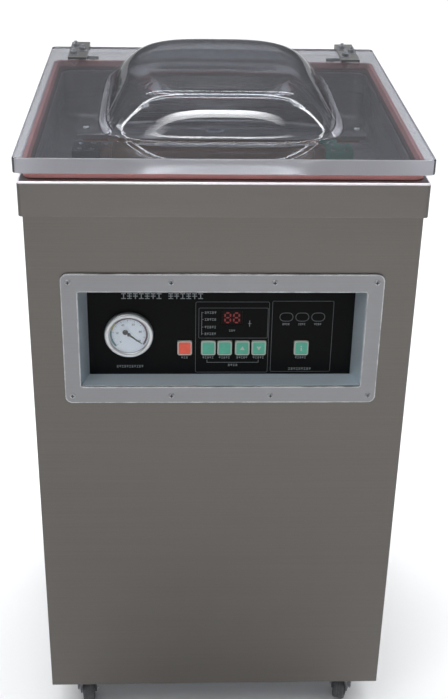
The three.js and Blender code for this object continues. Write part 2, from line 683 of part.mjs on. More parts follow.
// ---------------------------------------------------------------- casters
// Local frame: swivel axis at the origin, the wheel trails towards +Y.
function buildCaster(name, x, y, degrees, braked) {
  const place = (body) => body.rotate([0, 0, degrees]).translate([x, y, 0]);
  const plateBottom = casterHeight - gap - 2.5;
  const forkTop = plateBottom - gap;

  let plate = slab([-28, -23, plateBottom], [28, 23, casterHeight - gap], 5, 2);
  for (const holeX of [-21, 21]) {
    for (const holeY of [-16, 16]) {
      plate = plate.subtract(bar("z", [holeX, holeY, casterHeight], 3, 12, 6));
    }
  }
  add(`caster_plate_${name}`, plate.translate([x, y, 0]), ZINC);

  const cheekInner = wheelWidth / 2 + 1;
  const cheekOuter = cheekInner + 2.5;
  const cheek = new THREE.Shape();
  cheek.moveTo(-17, forkTop - 6);
  cheek.lineTo(12, wheelRadius - 8);
  cheek.absarc(trail, wheelRadius, 9, Math.PI * 1.25, Math.PI * 2, false);
  cheek.lineTo(trail + 10, forkTop - 10);
  cheek.lineTo(trail + 10, forkTop - 4);
  cheek.lineTo(17, forkTop - 2);
  cheek.lineTo(-17, forkTop - 2);
  cheek.closePath();
  let fork = bar("z", [0, 0, forkTop - 3], 20, 6, 16);
  fork = fork.add(sidePlate(cheek, -cheekOuter, -cheekInner));
  fork = fork.add(sidePlate(cheek, cheekInner, cheekOuter));
  fork = fork.add(bar("x", [0, trail, wheelRadius], 4, cheekOuter * 2 + 4, 12));
  const pedalY = trail + 5;
  const pedalZ = forkTop - 12.5;
  if (braked) fork = fork.subtract(bar("x", [0, pedalY, pedalZ], 2.4, 40, 8));
  add(`caster_fork_${name}`, place(fork), ZINC);

  const half = wheelWidth / 2;
  const wheel = turned("x", [0, trail, wheelRadius], [
    [4.4, -half], [10, -half], [12, -half + 2], [19, -half + 2], [20.5, -half],
    [wheelRadius, -half + 3], [wheelRadius, half - 3], [20.5, half], [19, half - 2],
    [12, half - 2], [10, half], [4.4, half],
  ], 20);
  add(`caster_wheel_${name}`, place(wheel), DARK_GREY);

  if (braked) {
    const pedalHalf = cheekInner - 0.5;
    let pedal = block([-pedalHalf, pedalY - 3.5, pedalZ - 2.5], [pedalHalf, pedalY + 18, pedalZ + 2]);
    pedal = pedal.add(bar("x", [0, pedalY, pedalZ], 2, cheekOuter * 2 + 2, 8));
    pedal = pedal.add(block([-12, pedalY + 12, pedalZ - 1.5], [12, pedalY + 24, pedalZ + 2]));
    add(`brake_pedal_${name}`, place(pedal), BLACK_PLASTIC);
  }
}

buildBaseTray();
buildCabinetShell();
buildRearPanel();
buildTopRim();
buildChamberWell();
buildGasket();
buildControlSurround();
buildControlPanel();
buildButtons();
buildGauge();
buildPump();
buildTransformer();
buildValveAndHose();
buildSealBar();
buildLid();
buildCounterBar();
buildHinge(-1, "left");
buildHinge(1, "right");
for (const [name, x, y, degrees, braked] of casterPlaces) {
  buildCaster(name, x, y, degrees, braked);
}

export default machine;
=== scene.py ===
"""Floor-standing chamber vacuum packing machine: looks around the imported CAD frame."""

import json
from math import atan2, cos, pi, radians, sin, sqrt

import bmesh
import bpy
from mathutils import Matrix, Vector


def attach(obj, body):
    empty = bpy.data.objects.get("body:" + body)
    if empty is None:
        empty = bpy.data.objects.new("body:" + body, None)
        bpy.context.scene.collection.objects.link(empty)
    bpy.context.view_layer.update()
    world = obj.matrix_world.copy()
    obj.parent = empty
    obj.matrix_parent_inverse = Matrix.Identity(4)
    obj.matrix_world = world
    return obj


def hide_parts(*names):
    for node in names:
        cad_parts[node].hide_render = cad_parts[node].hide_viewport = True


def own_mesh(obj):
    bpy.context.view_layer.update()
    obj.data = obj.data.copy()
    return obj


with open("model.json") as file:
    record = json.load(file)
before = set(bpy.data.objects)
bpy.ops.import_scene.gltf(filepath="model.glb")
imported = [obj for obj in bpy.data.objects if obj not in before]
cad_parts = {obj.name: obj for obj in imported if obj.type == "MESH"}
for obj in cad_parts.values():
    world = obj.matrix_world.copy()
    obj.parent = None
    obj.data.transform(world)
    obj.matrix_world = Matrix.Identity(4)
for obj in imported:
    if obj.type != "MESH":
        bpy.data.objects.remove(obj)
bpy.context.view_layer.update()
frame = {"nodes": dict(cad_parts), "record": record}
nodes = frame["nodes"]

MM = 0.001

# ------------------------------------------------ sizes, in millimetres
FRONT = -292.5
BACK = 237.5
BAND_BOTTOM = 876.0
RIM_TOP = 923.0
LID_BOTTOM = 932.3
LID_TOP = 952.8
LID_HALF = 270.0
LID_FRONT = -293.5
LID_BACK = 282.5
SHEET_MIDDLE = (LID_FRONT + LID_BACK) / 2
SHEET_HALF = (LID_BACK - LID_FRONT) / 2
CHAMBER_HALF = 244.0
CHAMBER_FRONT = -268.5
CHAMBER_BACK = 189.5
CHAMBER_FLOOR = 845.0
DOME_HALF = 165.0
DOME_FRONT = -224.5
DOME_BACK = 177.5
DOME_HEIGHT = 55.5
DOME_WALL = 61.0
DOME_CROWN = 8.0
PANEL_FRONT = -257.5
GAUGE = (-128.0, PANEL_FRONT, 687.0)
SEAL_Y = -164.5
SEAL_TOP = 912.0
HINGE_X = 222.0
PIVOT = (265.5, 905.0)
POST = (286.28, 917.0)
SPRING_LOW = 741.7
SPRING_HIGH = 913.7
BUTTON_WIDTH = 20.6
BUTTON_HEIGHT = 22.6
BUTTON_Z = BAND_BOTTOM - 211.0
BUTTONS = {
    "stop_button": -50.5,
    "select_button": -17.4,
    "enter_button": 5.5,
    "up_button": 30.2,
    "down_button": 53.4,
    "start_button": 113.0,
}
CASTERS = {
    "front_left": (-205.0, -260.5, 8.0),
    "front_right": (205.0, -260.5, -18.0),
    "rear_left": (-205.0, 185.5, 0.0),
    "rear_right": (205.0, 185.5, 12.0),
}
AXLE = (0, 20, 25)
AXLE_NUT_FACE = 12.9
PLATE_UNDERSIDE = 72.2
BEZEL_FACE = -295.8
REAR_FACE = 239.3
LOUVRE_FACE = 241.2
LOUVRE_FRONT = 244.0
STRAP_TOP = 957.1
BRACKET_FACE = 246.8
SPRING_INSET = 19
COIL_RADIUS = 6.7
CLOTH_LEFT = -149
CLOTH_LENGTH = 274


# ------------------------------------------------ materials
def linear(r, g, b):
    """An sRGB colour, 0 to 255, as the linear values that shaders use."""
    return tuple((v / 255 / 12.92) if v < 10.3 else ((v / 255 + 0.055) / 1.055) ** 2.4 for v in (r, g, b))


def tinted(color, amount):
    return tuple(min(1.0, max(0.0, c * amount)) for c in color[:3]) + (1.0,)


def noise(tree, vector, stretch, detail=3.0, rough=0.55, distortion=0.0):
    mapping = tree.nodes.new("ShaderNodeMapping")
    mapping.inputs["Scale"].default_value = stretch
    tree.links.new(vector, mapping.inputs["Vector"])
    texture = tree.nodes.new("ShaderNodeTexNoise")
    texture.inputs["Scale"].default_value = 1.0
    texture.inputs["Detail"].default_value = detail
    texture.inputs["Roughness"].default_value = rough
    texture.inputs["Distortion"].default_value = distortion
    tree.links.new(mapping.outputs["Vector"], texture.inputs["Vector"])
    return texture.outputs["Fac"]


def math_node(tree, operation, a, b=None, clamp=False):
    node = tree.nodes.new("ShaderNodeMath")
    node.operation = operation
    node.use_clamp = clamp
    for socket, value in zip(node.inputs, (a, b)):
        if isinstance(value, (int, float)):
            socket.default_value = value
        elif value is not None:
            tree.links.new(value, socket)
    return node.outputs[0]


def remap(tree, value, low, high, to_low, to_high):
    node = tree.nodes.new("ShaderNodeMapRange")
    for name, number in (("From Min", low), ("From Max", high), ("To Min", to_low), ("To Max", to_high)):
        node.inputs[name].default_value = number
    tree.links.new(value, node.inputs["Value"])
    return node.outputs["Result"]


def mixed(tree, factor, a, b):
    node = tree.nodes.new("ShaderNodeMix")
    node.data_type = "RGBA"
    tree.links.new(factor, node.inputs[0])
    for index, value in ((6, a), (7, b)):
        if isinstance(value, tuple):
            node.inputs[index].default_value = value
        else:
            tree.links.new(value, node.inputs[index])
    return node.outputs[2]


def grain_pattern(tree, coords, grain, top_grain):
    """Fine noise, which top_grain turns another way on faces that look up or down."""
    place = coords.outputs["Object"]
    fine = noise(tree, place, grain, detail=4.0)
    if not top_grain:
        return fine
    split = tree.nodes.new("ShaderNodeSeparateXYZ")
    tree.links.new(coords.outputs["Normal"], split.inputs[0])
    upward = math_node(tree, "GREATER_THAN", math_node(tree, "ABSOLUTE", split.outputs[2]), 0.6)
    pick = tree.nodes.new("ShaderNodeMix")
    tree.links.new(upward, pick.inputs[0])
    tree.links.new(fine, pick.inputs[2])
    tree.links.new(noise(tree, place, top_grain, detail=4.0), pick.inputs[3])
    return pick.outputs[0]


def edge_mask(tree, place, amount, radius):
    """Patchy edge mask, from 0 to amount, where a rounded normal leaves the surface's own; it marks wear
    and painted edge highlights.
    """
    round_edge = tree.nodes.new("ShaderNodeBevel")
    round_edge.samples = 4
    round_edge.inputs["Radius"].default_value = radius
    geometry = tree.nodes.new("ShaderNodeNewGeometry")
    dot = tree.nodes.new("ShaderNodeVectorMath")
    dot.operation = "DOT_PRODUCT"
    tree.links.new(round_edge.outputs[0], dot.inputs[0])
    tree.links.new(geometry.outputs["Normal"], dot.inputs[1])
    edge = remap(tree, dot.outputs["Value"], 0.995, 0.88, 0.0, amount)
    patchy = remap(tree, noise(tree, place, (60,) * 3, detail=4.0), 0.35, 0.6, 0.2, 1.0)
    return math_node(tree, "MULTIPLY", edge, patchy, clamp=True)


def surface(
    name,
    color,
    roughness,
    metallic=0.0,
    grain=(900, 900, 900),
    top_grain=None,
    depth=0.00002,
    strength=0.25,
    mottle=0.14,
    mottle_scale=7.0,
    streak=0.0,
    spread=0.07,
    wear_and_highlight=0.0,
    wear_and_highlight_color=None,
    wear_and_highlight_radius=0.0012,
    painted_edge_highlight=0.0,
    **sockets,
):
    """A worn, grainy finish in the object's own coordinates.

    mottle and streak vary the colour in patches and along the grain, spread varies the roughness,
    wear_and_highlight lightens the edges, as wear and, with a pale colour, as a painted highlight, and
    painted_edge_highlight makes those edges less metallic, so that they catch soft light as a painted
    highlight line.
    """
    made = bpy.data.materials.new(name)
    made.use_nodes = True
    tree = made.node_tree
    shader = tree.nodes["Principled BSDF"]
    coords = tree.nodes.new("ShaderNodeTexCoord")
    place = coords.outputs["Object"]
    fine = grain_pattern(tree, coords, grain, top_grain)
    broad = noise(tree, place, (mottle_scale,) * 3, detail=5.0, rough=0.6, distortion=0.4)
    level = remap(tree, broad, 0.3, 0.7, 0.0, 1.0)
    if streak:
        patches = math_node(tree, "MULTIPLY", level, 1 - streak)
        lines = math_node(tree, "MULTIPLY", remap(tree, fine, 0.3, 0.7, 0.0, 1.0), streak)
        level = math_node(tree, "ADD", patches, lines)
    tone = mixed(tree, level, tinted(color, 1 - mottle), tinted(color, 1 + mottle))
    shader.inputs["Metallic"].default_value = metallic
    # Lightened edges: wear, and with a pale colour a painted highlight; painted_edge_highlight also makes
    # them less metallic, which paints a brighter highlight line.
    if wear_and_highlight:
        edge = edge_mask(tree, place, wear_and_highlight, wear_and_highlight_radius)
        tone = mixed(tree, edge, tone, (wear_and_highlight_color or tinted(color, 1.7)))
        if painted_edge_highlight:
            dulled = remap(tree, edge, 0.0, 1.0, metallic, metallic * (1 - painted_edge_highlight))
            tree.links.new(dulled, shader.inputs["Metallic"])
    tree.links.new(tone, shader.inputs["Base Color"])
    fine_gloss = remap(tree, fine, 0.25, 0.75, roughness - spread, roughness + spread)
    broad_gloss = remap(tree, broad, 0.3, 0.7, -0.5 * spread, 0.5 * spread)
    tree.links.new(math_node(tree, "ADD", fine_gloss, broad_gloss, clamp=True), shader.inputs["Roughness"])
    bump = tree.nodes.new("ShaderNodeBump")
    bump.inputs["Strength"].default_value = strength
    bump.inputs["Distance"].default_value = depth
    tree.links.new(fine, bump.inputs["Height"])
    tree.links.new(bump.outputs["Normal"], shader.inputs["Normal"])
    for socket, value in sockets.items():
        shader.inputs[socket.replace("_", " ")].default_value = value
    return made


def clear(name, color, roughness, ior=1.49, depth=0.000004, spread=0.01, smudge=4.0, clearness=1.0,
          shade=0.97):
    """Clear plastic or glass with faint smears; shade tints the lamp light that it lets through."""
    made = surface(name, color, roughness, grain=(1200, 60, 60), mottle=0.02, mottle_scale=smudge,
                   depth=depth, strength=0.06, spread=spread, Transmission_Weight=clearness, IOR=ior)
    tree = made.node_tree
    shader = tree.nodes["Principled BSDF"]
    output = tree.nodes["Material Output"]
    path = tree.nodes.new("ShaderNodeLightPath")
    through = tree.nodes.new("ShaderNodeBsdfTransparent")
    through.inputs["Color"].default_value = tinted(color, shade)
    blend = tree.nodes.new("ShaderNodeMixShader")
    tree.links.new(path.outputs["Is Shadow Ray"], blend.inputs[0])
    tree.links.new(shader.outputs[0], blend.inputs[1])
    tree.links.new(through.outputs[0], blend.inputs[2])
    tree.links.new(blend.outputs[0], output.inputs["Surface"])
    return made


STEEL_GRAIN = {"grain": (5, 5, 900), "top_grain": (5, 900, 5), "depth": 0.00003, "strength": 0.3}
FINE_GRAIN = {"grain": (6, 6, 700), "top_grain": (6, 500, 6), "depth": 0.000008, "strength": 0.2}
LOOK = {
    "cabinet_stainless": surface("cabinet_stainless", linear(112, 108, 104), 0.38, 1.0, mottle=0.09,
                                 mottle_scale=4.5, streak=0.6, wear_and_highlight=0.5, **STEEL_GRAIN),
    # Lightened edges: wear and a faint painted highlight.
    "rim_stainless": surface("rim_stainless", linear(116, 112, 109), 0.38, 1.0, mottle=0.07,
                             mottle_scale=4.0, streak=0.5, wear_and_highlight=0.4, wear_and_highlight_radius=0.0024, **FINE_GRAIN),
    # Near-white, less metallic finish for the band's rounded top edge: a painted highlight line.
    "rim_painted_highlight": surface("rim_painted_highlight", linear(236, 229, 231), 0.3, 0.3, mottle=0.1, mottle_scale=30.0,
                        streak=0.3, **FINE_GRAIN),
    "chamber_stainless": surface("chamber_stainless", linear(178, 176, 174), 0.30, 0.9, mottle=0.08,
                                 streak=0.3, **FINE_GRAIN),
    "recess_stainless": surface("recess_stainless", linear(198, 210, 218), 0.4, 0.58, mottle=0.08,
                                streak=0.5, wear_and_highlight=0.4, **STEEL_GRAIN),
    # Near-white, less metallic edges: wear and a painted highlight along the bezel's edges.
    "bezel_aluminium": surface("bezel_aluminium", linear(146, 146, 148), 0.4, 1.0, mottle=0.09,
                               streak=0.5, wear_and_highlight=1.0, wear_and_highlight_color=linear(236, 238, 240) + (1.0,),
                               wear_and_highlight_radius=0.003, painted_edge_highlight=0.8, **STEEL_GRAIN),
    "bar_aluminium": surface("bar_aluminium", linear(170, 168, 164), 0.34, 1.0, grain=(8, 900, 900),
                             mottle=0.14, mottle_scale=30, streak=0.5, depth=0.00003, wear_and_highlight=0.6),
    "zinc_steel": surface("zinc_steel", linear(168, 170, 174), 0.42, 0.85, mottle=0.16,
                          mottle_scale=45, wear_and_highlight=0.5),
    "hinge_steel": surface("hinge_steel", linear(150, 149, 147), 0.42, 0.85, grain=(900, 12, 900),
                           mottle=0.08, streak=0.4, wear_and_highlight=0.6),
    "spring_steel": surface("spring_steel", linear(190, 188, 184), 0.25, 1.0, mottle=0.12,
                            mottle_scale=60),
    "caster_steel": surface("caster_steel", linear(92, 92, 96), 0.42, 0.9, mottle=0.25,
                            mottle_scale=50, wear_and_highlight=0.7, wear_and_highlight_color=linear(150, 150, 152) + (1.0,)),
    "gasket_silicone": surface("gasket_silicone", linear(190, 134, 128), 0.5, mottle=0.1,
                               mottle_scale=20, depth=0.00004, Subsurface_Weight=0.08),
    "pad_silicone": surface("pad_silicone", linear(176, 112, 82), 0.55, mottle=0.12, mottle_scale=30,
                            depth=0.00005),
    "hose_rubber": surface("hose_rubber", linear(52, 53, 56), 0.6, mottle=0.2, mottle_scale=30,
                           depth=0.00006),
    "caster_tread": surface("caster_tread", linear(84, 85, 88), 0.62, mottle=0.22, mottle_scale=60,
                            depth=0.00012, strength=0.5, wear_and_highlight=0.5,
                            wear_and_highlight_color=linear(128, 126, 122) + (1.0,)),
    "panel_film": surface("panel_film", linear(11, 12, 12), 0.55, mottle=0.12, mottle_scale=16,
                          depth=0.00003, strength=0.35, Specular_IOR_Level=0.1),
    "display_red": surface("display_red", linear(24, 6, 7), 0.3, mottle=0.12, spread=0.03,
                           depth=0.00001, Specular_IOR_Level=0.1),
    "button_green": surface("button_green", linear(80, 172, 146), 0.42, mottle=0.08,
                            mottle_scale=120, depth=0.00004, wear_and_highlight=0.4),
    "button_red": surface("button_red", linear(236, 92, 70), 0.42, mottle=0.08, mottle_scale=120,
                          depth=0.00004, wear_and_highlight=0.4),
    "gauge_chrome": surface("gauge_chrome", linear(208, 209, 210), 0.36, 0.8, mottle=0.06,
                            mottle_scale=40, depth=0.00001),
    # The faint blue emission is a painted glow that brightens the dial; the dial gives no light.
    "dial_enamel": surface("dial_enamel", linear(236, 244, 255), 0.4, mottle=0.04, mottle_scale=50,
                           depth=0.00001, Emission_Color=(0.75, 0.86, 1.0, 1.0), Emission_Strength=0.07),
    "gauge_glass": clear("gauge_glass", (0.97, 0.98, 0.99), 0.02, ior=1.5),
    "needle_black": surface("needle_black", linear(32, 33, 36), 0.38, 0.2, mottle=0.2,
                            mottle_scale=90, wear_and_highlight=0.3),
    "circuit_board": surface("circuit_board", linear(34, 98, 62), 0.4, mottle=0.2, mottle_scale=90,
                             depth=0.00005),
    "pump_paint": surface("pump_paint", linear(96, 132, 154), 0.38, 0.05, grain=(330, 330, 330),
                          mottle=0.12, mottle_scale=25, depth=0.0002, strength=0.4, wear_and_highlight=0.7,
                          wear_and_highlight_color=linear(120, 118, 112) + (1.0,)),
    "transformer_iron": surface("transformer_iron", linear(64, 66, 68), 0.55, 0.4,
                                grain=(60, 1600, 60), mottle=0.3, mottle_scale=40, depth=0.0001,
                                strength=0.5, wear_and_highlight=0.5),
    "valve_brass": surface("valve_brass", linear(196, 160, 92), 0.34, 1.0, mottle=0.15,
                           mottle_scale=45, wear_and_highlight=0.4),
    "ptfe_cloth": surface("ptfe_cloth", linear(112, 88, 66), 0.5, mottle=0.2, mottle_scale=30,
                          grain=(1500, 1500, 900), depth=0.0001, strength=0.5),
    "terminal_copper": surface("terminal_copper", linear(196, 158, 138), 0.36, 0.9, mottle=0.2,
                               mottle_scale=70, wear_and_highlight=0.5),
    "green_laminate": surface("green_laminate", linear(78, 128, 112), 0.42, mottle=0.14,
                              mottle_scale=60, grain=(300, 300, 1400), depth=0.00008,
                              wear_and_highlight=0.5, wear_and_highlight_color=linear(150, 170, 150) + (1.0,)),
    "dark_plastic": surface("dark_plastic", linear(48, 49, 53), 0.45, mottle=0.15, mottle_scale=50,
                            depth=0.00008, strength=0.4, wear_and_highlight=0.4),
    "lid_acrylic": clear("lid_acrylic", (0.55, 0.56, 0.595), 0.03, smudge=6.0, clearness=0.98, shade=1.55),
    "print_grey": surface("print_grey", linear(92, 96, 98), 0.5, mottle=0.08, mottle_scale=200),
    "print_white": surface("print_white", linear(140, 145, 148), 0.5, mottle=0.08, mottle_scale=200),
    "button_border": surface("button_border", linear(178, 184, 176), 0.42, mottle=0.06,
                             mottle_scale=120),
    "led_red": surface("led_red", linear(118, 20, 18), 0.4, mottle=0.06, mottle_scale=200,
                       Emission_Color=(0.5, 0.02, 0.015, 1.0), Emission_Strength=0.12),
    "dial_teal": surface("dial_teal", linear(66, 140, 148), 0.45, mottle=0.08, mottle_scale=150),
    "dial_olive": surface("dial_olive", linear(164, 160, 84), 0.45, mottle=0.08, mottle_scale=150),
    "dial_maroon": surface("dial_maroon", linear(84, 56, 76), 0.45, mottle=0.08, mottle_scale=150),
    "dial_ink": surface("dial_ink", linear(60, 66, 78), 0.45, mottle=0.08, mottle_scale=150),
    "acrylic_edge": clear("acrylic_edge", (0.63, 0.62, 0.66), 0.4, spread=0.05, depth=0.00006,
                          clearness=0.6),
    # Black for slots, drives and openings: painted shade where these recesses are dark.
    "painted_shade_black": surface("painted_shade_black", linear(18, 18, 20), 0.6, mottle=0.1),
}


# ------------------------------------------------ shapes: (points, faces) in millimetres
def rounded(x0, x1, y0, y1, r, steps=6):
    """A rounded rectangle, anticlockwise from its lower right corner."""
    points = []
    corners = ((x1 - r, y0 + r, -90), (x1 - r, y1 - r, 0), (x0 + r, y1 - r, 90), (x0 + r, y0 + r, 180))
    for cx, cy, start in corners:
        for i in range(steps + 1):
            a = radians(start + 90 * i / steps)
            points.append((cx + r * cos(a), cy + r * sin(a)))
    return points


def loft(loops, first=False, last=False, closed=False):
    """Skins a list of equal-length closed loops of 3-D points."""
    size = len(loops[0])
    points = [p for loop in loops for p in loop]
    faces = []
    final = len(loops) - 1
    pairs = [(i, i + 1) for i in range(final)]
    if closed:
        pairs.append((final, 0))
    for a, b in pairs:
        for i in range(size):
            j = (i + 1) % size
            faces.append((a * size + i, a * size + j, b * size + j, b * size + i))
    if first:
        faces.append(tuple(range(size))[::-1])
    if last:
        faces.append(tuple(final * size + i for i in range(size)))
    return points, faces


def on_axis(axis, centre, a, b, along):
    x, y, z = centre
    if axis == "x":
        return (x + along, y + a, z + b)
    if axis == "y":
        return (x + a, y + along, z + b)
    return (x + a, y + b, z + along)


def lathe(axis, centre, profile, sides=48, closed=True):
    """Turns a closed outline of (radius, distance) about an axis through a point."""
    angles = [2 * pi * i / sides for i in range(sides)]
    loops = []
    for radius, d in profile:
        r = max(radius, 0.01)
        loops.append([on_axis(axis, centre, r * cos(a), r * sin(a), d) for a in angles])
    return loft(loops, first=not closed, last=not closed, closed=closed)


def prism(axis, outline, low, high):
    """A flat outline pushed from low to high along an axis; its other two axes stay in x, y, z order."""
    def at(p, d):
        return {"x": (d, p[0], p[1]), "y": (p[0], d, p[1]), "z": (p[0], p[1], d)}[axis]
    return loft([[at(p, low) for p in outline], [at(p, high) for p in outline]], first=True, last=True)


def brick(low, high):
    x0, y0, z0 = low
    x1, y1, z1 = high
    return prism("z", [(x0, y0), (x1, y0), (x1, y1), (x0, y1)], z0, z1)


def hexagon(axis, centre, across, low, high, chamfer=0.6):
    """A chamfered hexagon head or nut."""
    corner = across / sqrt(3)
    step = chamfer if high > low else -chamfer

    def loop(r, d):
        return [on_axis(axis, centre, r * cos(pi / 3 * i), r * sin(pi / 3 * i), d) for i in range(6)]

    return loft([loop(corner, low), loop(corner, high - step), loop(corner * 0.9, high)],
                first=True, last=True)


def sweep(path, radius, sides=8):
    """A round wire along a list of points."""
    angles = [2 * pi * k / sides for k in range(sides)]
    loops = []
    up = Vector((0, 0, 1))
    previous = None
    for i, p in enumerate(path):
        a = Vector(path[max(i - 1, 0)])
        b = Vector(path[min(i + 1, len(path) - 1)])
        tangent = (b - a).normalized()
        side = previous - tangent * previous.dot(tangent) if previous else tangent.cross(up)
        if side.length < 1e-4:
            side = tangent.cross(Vector((1, 0, 0)))
        side.normalize()
        previous = side
        other = tangent.cross(side)
        loops.append([tuple(Vector(p) + radius * (side * cos(t) + other * sin(t))) for t in angles])
    return loft(loops, first=True, last=True)


def together(*shapes):
    points, faces = [], []
    for more, more_faces in shapes:
        base = len(points)
        points.extend(more)
        faces.extend(tuple(i + base for i in f) for f in more_faces)
    return points, faces


def moved(shape, matrix):
    return [tuple(matrix @ Vector(p)) for p in shape[0]], shape[1]


def piece(name, shape, look, body, replaces=(), smooth=38):
    """Adds one named piece that rides on a CAD body; edges sharper than smooth degrees stay crisp."""
    mesh = bpy.data.meshes.new(name)
    mesh.from_pydata([[v * MM for v in p] for p in shape[0]], [], shape[1])
    mesh.validate()
    work = bmesh.new()
    work.from_mesh(mesh)
    bmesh.ops.remove_doubles(work, verts=work.verts, dist=1e-7)
    bmesh.ops.recalc_face_normals(work, faces=work.faces)
    work.to_mesh(mesh)
    work.free()
    for polygon in mesh.polygons:
        polygon.use_smooth = True
    mesh.set_sharp_from_angle(angle=radians(smooth))
    made = bpy.data.objects.new(name, mesh)
    bpy.context.collection.objects.link(made)
    mesh.materials.append(LOOK[look])
    even = made.modifiers.new("even", "WEIGHTED_NORMAL")
    even.keep_sharp = True
    even.weight = 80
    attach(made, body)
    if replaces:
        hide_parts(*replaces)
    return made


def soften(made, width):
    """Rounds an object's crisp edges by a width in millimetres."""
    edge = made.modifiers.new("edge", "BEVEL")
    edge.width = width * MM
    edge.segments = 2
    edge.limit_method = "ANGLE"
    edge.angle_limit = radians(32)
    edge.harden_normals = False
    edge.use_clamp_overlap = True


def polish(name, look, width=0.5):
    """Gives a CAD node its finish and soft edges."""
    node = nodes[name]
    weld = node.modifiers.new("weld", "WELD")
    weld.merge_threshold = 1e-6
    flat = node.modifiers.new("flat", "DECIMATE")
    flat.decimate_type = "DISSOLVE"
    flat.angle_limit = radians(1.2)
    soften(node, width)
    even = node.modifiers.new("even", "WEIGHTED_NORMAL")
    even.keep_sharp = False
    even.weight = 100
    for polygon in node.data.polygons:
        polygon.use_smooth = True
    node.data.materials.clear()
    node.data.materials.append(LOOK[look])


# ------------------------------------------------ lid
def lid_shape():
    """The blown dome in its flat sheet, outside and inside, with softened rims."""
    centre_y = (DOME_FRONT + DOME_BACK) / 2
    half_y = (DOME_BACK - DOME_FRONT) / 2
    hy_front = centre_y - LID_FRONT
    hy_back = LID_BACK - centre_y
    angles = {round(360 * i / 168, 3) for i in range(168)}
    for corner_y, sign in ((hy_front, -1), (hy_back, 1)):
        for side in (-1, 1):
            middle = atan2(sign * corner_y, side * LID_HALF) * 180 / pi % 360
            angles |= {round((middle + k * 0.3) % 360, 3) for k in range(-7, 8)}
    directions = [(cos(radians(a)), sin(radians(a))) for a in sorted(angles)]

    def sheet_ring(inset, z):
        ring = []
        for c, s in directions:
            hx = LID_HALF - inset
            hy = (hy_front if s < 0 else hy_back) - inset
            r = 7.0
            t = min(hx / max(abs(c), 1e-9), hy / max(abs(s), 1e-9))
            if t * abs(c) > hx - r and t * abs(s) > hy - r:
                dot = abs(c) * (hx - r) + abs(s) * (hy - r)
                t = dot + sqrt(max(dot * dot - (hx - r) ** 2 - (hy - r) ** 2 + r * r, 0))
            ring.append((t * c, centre_y + t * s, z))
        return ring

    def dome_ring(run, z, shrink=1.0):
        part = min(max(run / DOME_WALL, 0.0), 1.0)
        power = 5 - 1.8 * part
        hx = (DOME_HALF - run) * shrink
        hy = (half_y - run) * shrink
        return [((abs(c / hx) ** power + abs(s / hy) ** power) ** (-1 / power) * c,
                 centre_y + (abs(c / hx) ** power + abs(s / hy) ** power) ** (-1 / power) * s, z)
                for c, s in directions]

    def height(run, top):
        total = 0.0
        for k in range(-4, 5):
            part = min(max((run + k * 1.4) / DOME_WALL, 0.0), 1.0)
            total += sin(part * pi / 2)
        return total / 9 * top

    runs = [-9, -7, -5, -3, -1, 1, 3, 5, 8, 12, 17, 23, 30, 38, 46, 54, 61]
    crown = [0.97, 0.85, 0.65, 0.45, 0.25, 0.08]
    outside = [sheet_ring(1.3, LID_TOP), sheet_ring(2.2, LID_TOP)]
    inside = [sheet_ring(1.3, LID_BOTTOM), sheet_ring(2.2, LID_BOTTOM)]
    inner_height = DOME_HEIGHT + (LID_TOP - LID_BOTTOM) - DOME_CROWN
    for loops, base, rise in ((outside, LID_TOP, DOME_HEIGHT), (inside, LID_BOTTOM, inner_height)):
        for run in runs:
            loops.append(dome_ring(run, base + height(run, rise * 0.97)))
        flat = loops[-1][0][2]
        for q in crown:
            loops.append(dome_ring(DOME_WALL, flat + (base + rise - flat) * (1 - q * q), q))
    edge = [sheet_ring(0.4, LID_TOP - 0.4), sheet_ring(0, LID_TOP - 1.3),
            sheet_ring(0, LID_BOTTOM + 1.3), sheet_ring(0.4, LID_BOTTOM + 0.4)]
    loops = outside[::-1] + edge + inside
    return loft(loops, first=True, last=True)


lid = piece("lid_dome", lid_shape(), "lid_acrylic", "lid", replaces=("lid",), smooth=50)
lid.data.materials.append(LOOK["acrylic_edge"])
for polygon in lid.data.polygons:
    middle = sum((lid.data.vertices[i].co for i in polygon.vertices), Vector()) / len(polygon.vertices)
    across = max(abs(middle.x), abs(middle.y - SHEET_MIDDLE * MM) + (LID_HALF - SHEET_HALF) * MM)
    if across > (LID_HALF - 1.2) * MM:
        polygon.material_index = 1


# ------------------------------------------------ rim, chamber and gasket
def plan_loop(x, y0, y1, r, z, steps=8):
    return [(px, py, z) for px, py in rounded(-x, x, y0, y1, r, steps)]


band = []
for inset, z in ((2.0, RIM_TOP - 2.0), (2.0, BAND_BOTTOM + 0.2), (1.8, BAND_BOTTOM), (0.3, BAND_BOTTOM),
                 (0.0, BAND_BOTTOM + 0.4), (0.0, RIM_TOP - 2.6), (0.2, RIM_TOP - 1.6), (0.8, RIM_TOP - 0.7),
                 (1.7, RIM_TOP - 0.15), (2.8, RIM_TOP)):
    band.append(plan_loop(265 - inset, FRONT - 5 + inset, BACK + 5 - inset, 5.0 - inset * 0.8, z))
for grow, z in ((1.2, RIM_TOP), (0.4, RIM_TOP - 0.25), (0.0, RIM_TOP - 1.1), (0.0, RIM_TOP - 2.0)):
    band.append(plan_loop(CHAMBER_HALF + 2 + grow, CHAMBER_FRONT - 2 - grow, CHAMBER_BACK + 2 + grow,
                          20 + grow, z))
rim = piece("rim_band", loft(band, closed=True), "rim_stainless", "cabinet",
            replaces=("top_rim",), smooth=50)
# The band's rounded top outer edge gets the near-white finish: a painted highlight line along it.
rim.data.materials.append(LOOK["rim_painted_highlight"])
for polygon in rim.data.polygons:
    middle = polygon.center
    outward = max(abs(middle.x) - 0.262, FRONT * MM - 0.002 - middle.y)
    if outward > 0 and middle.z > (RIM_TOP - 2.6) * MM:
        polygon.material_index = 1

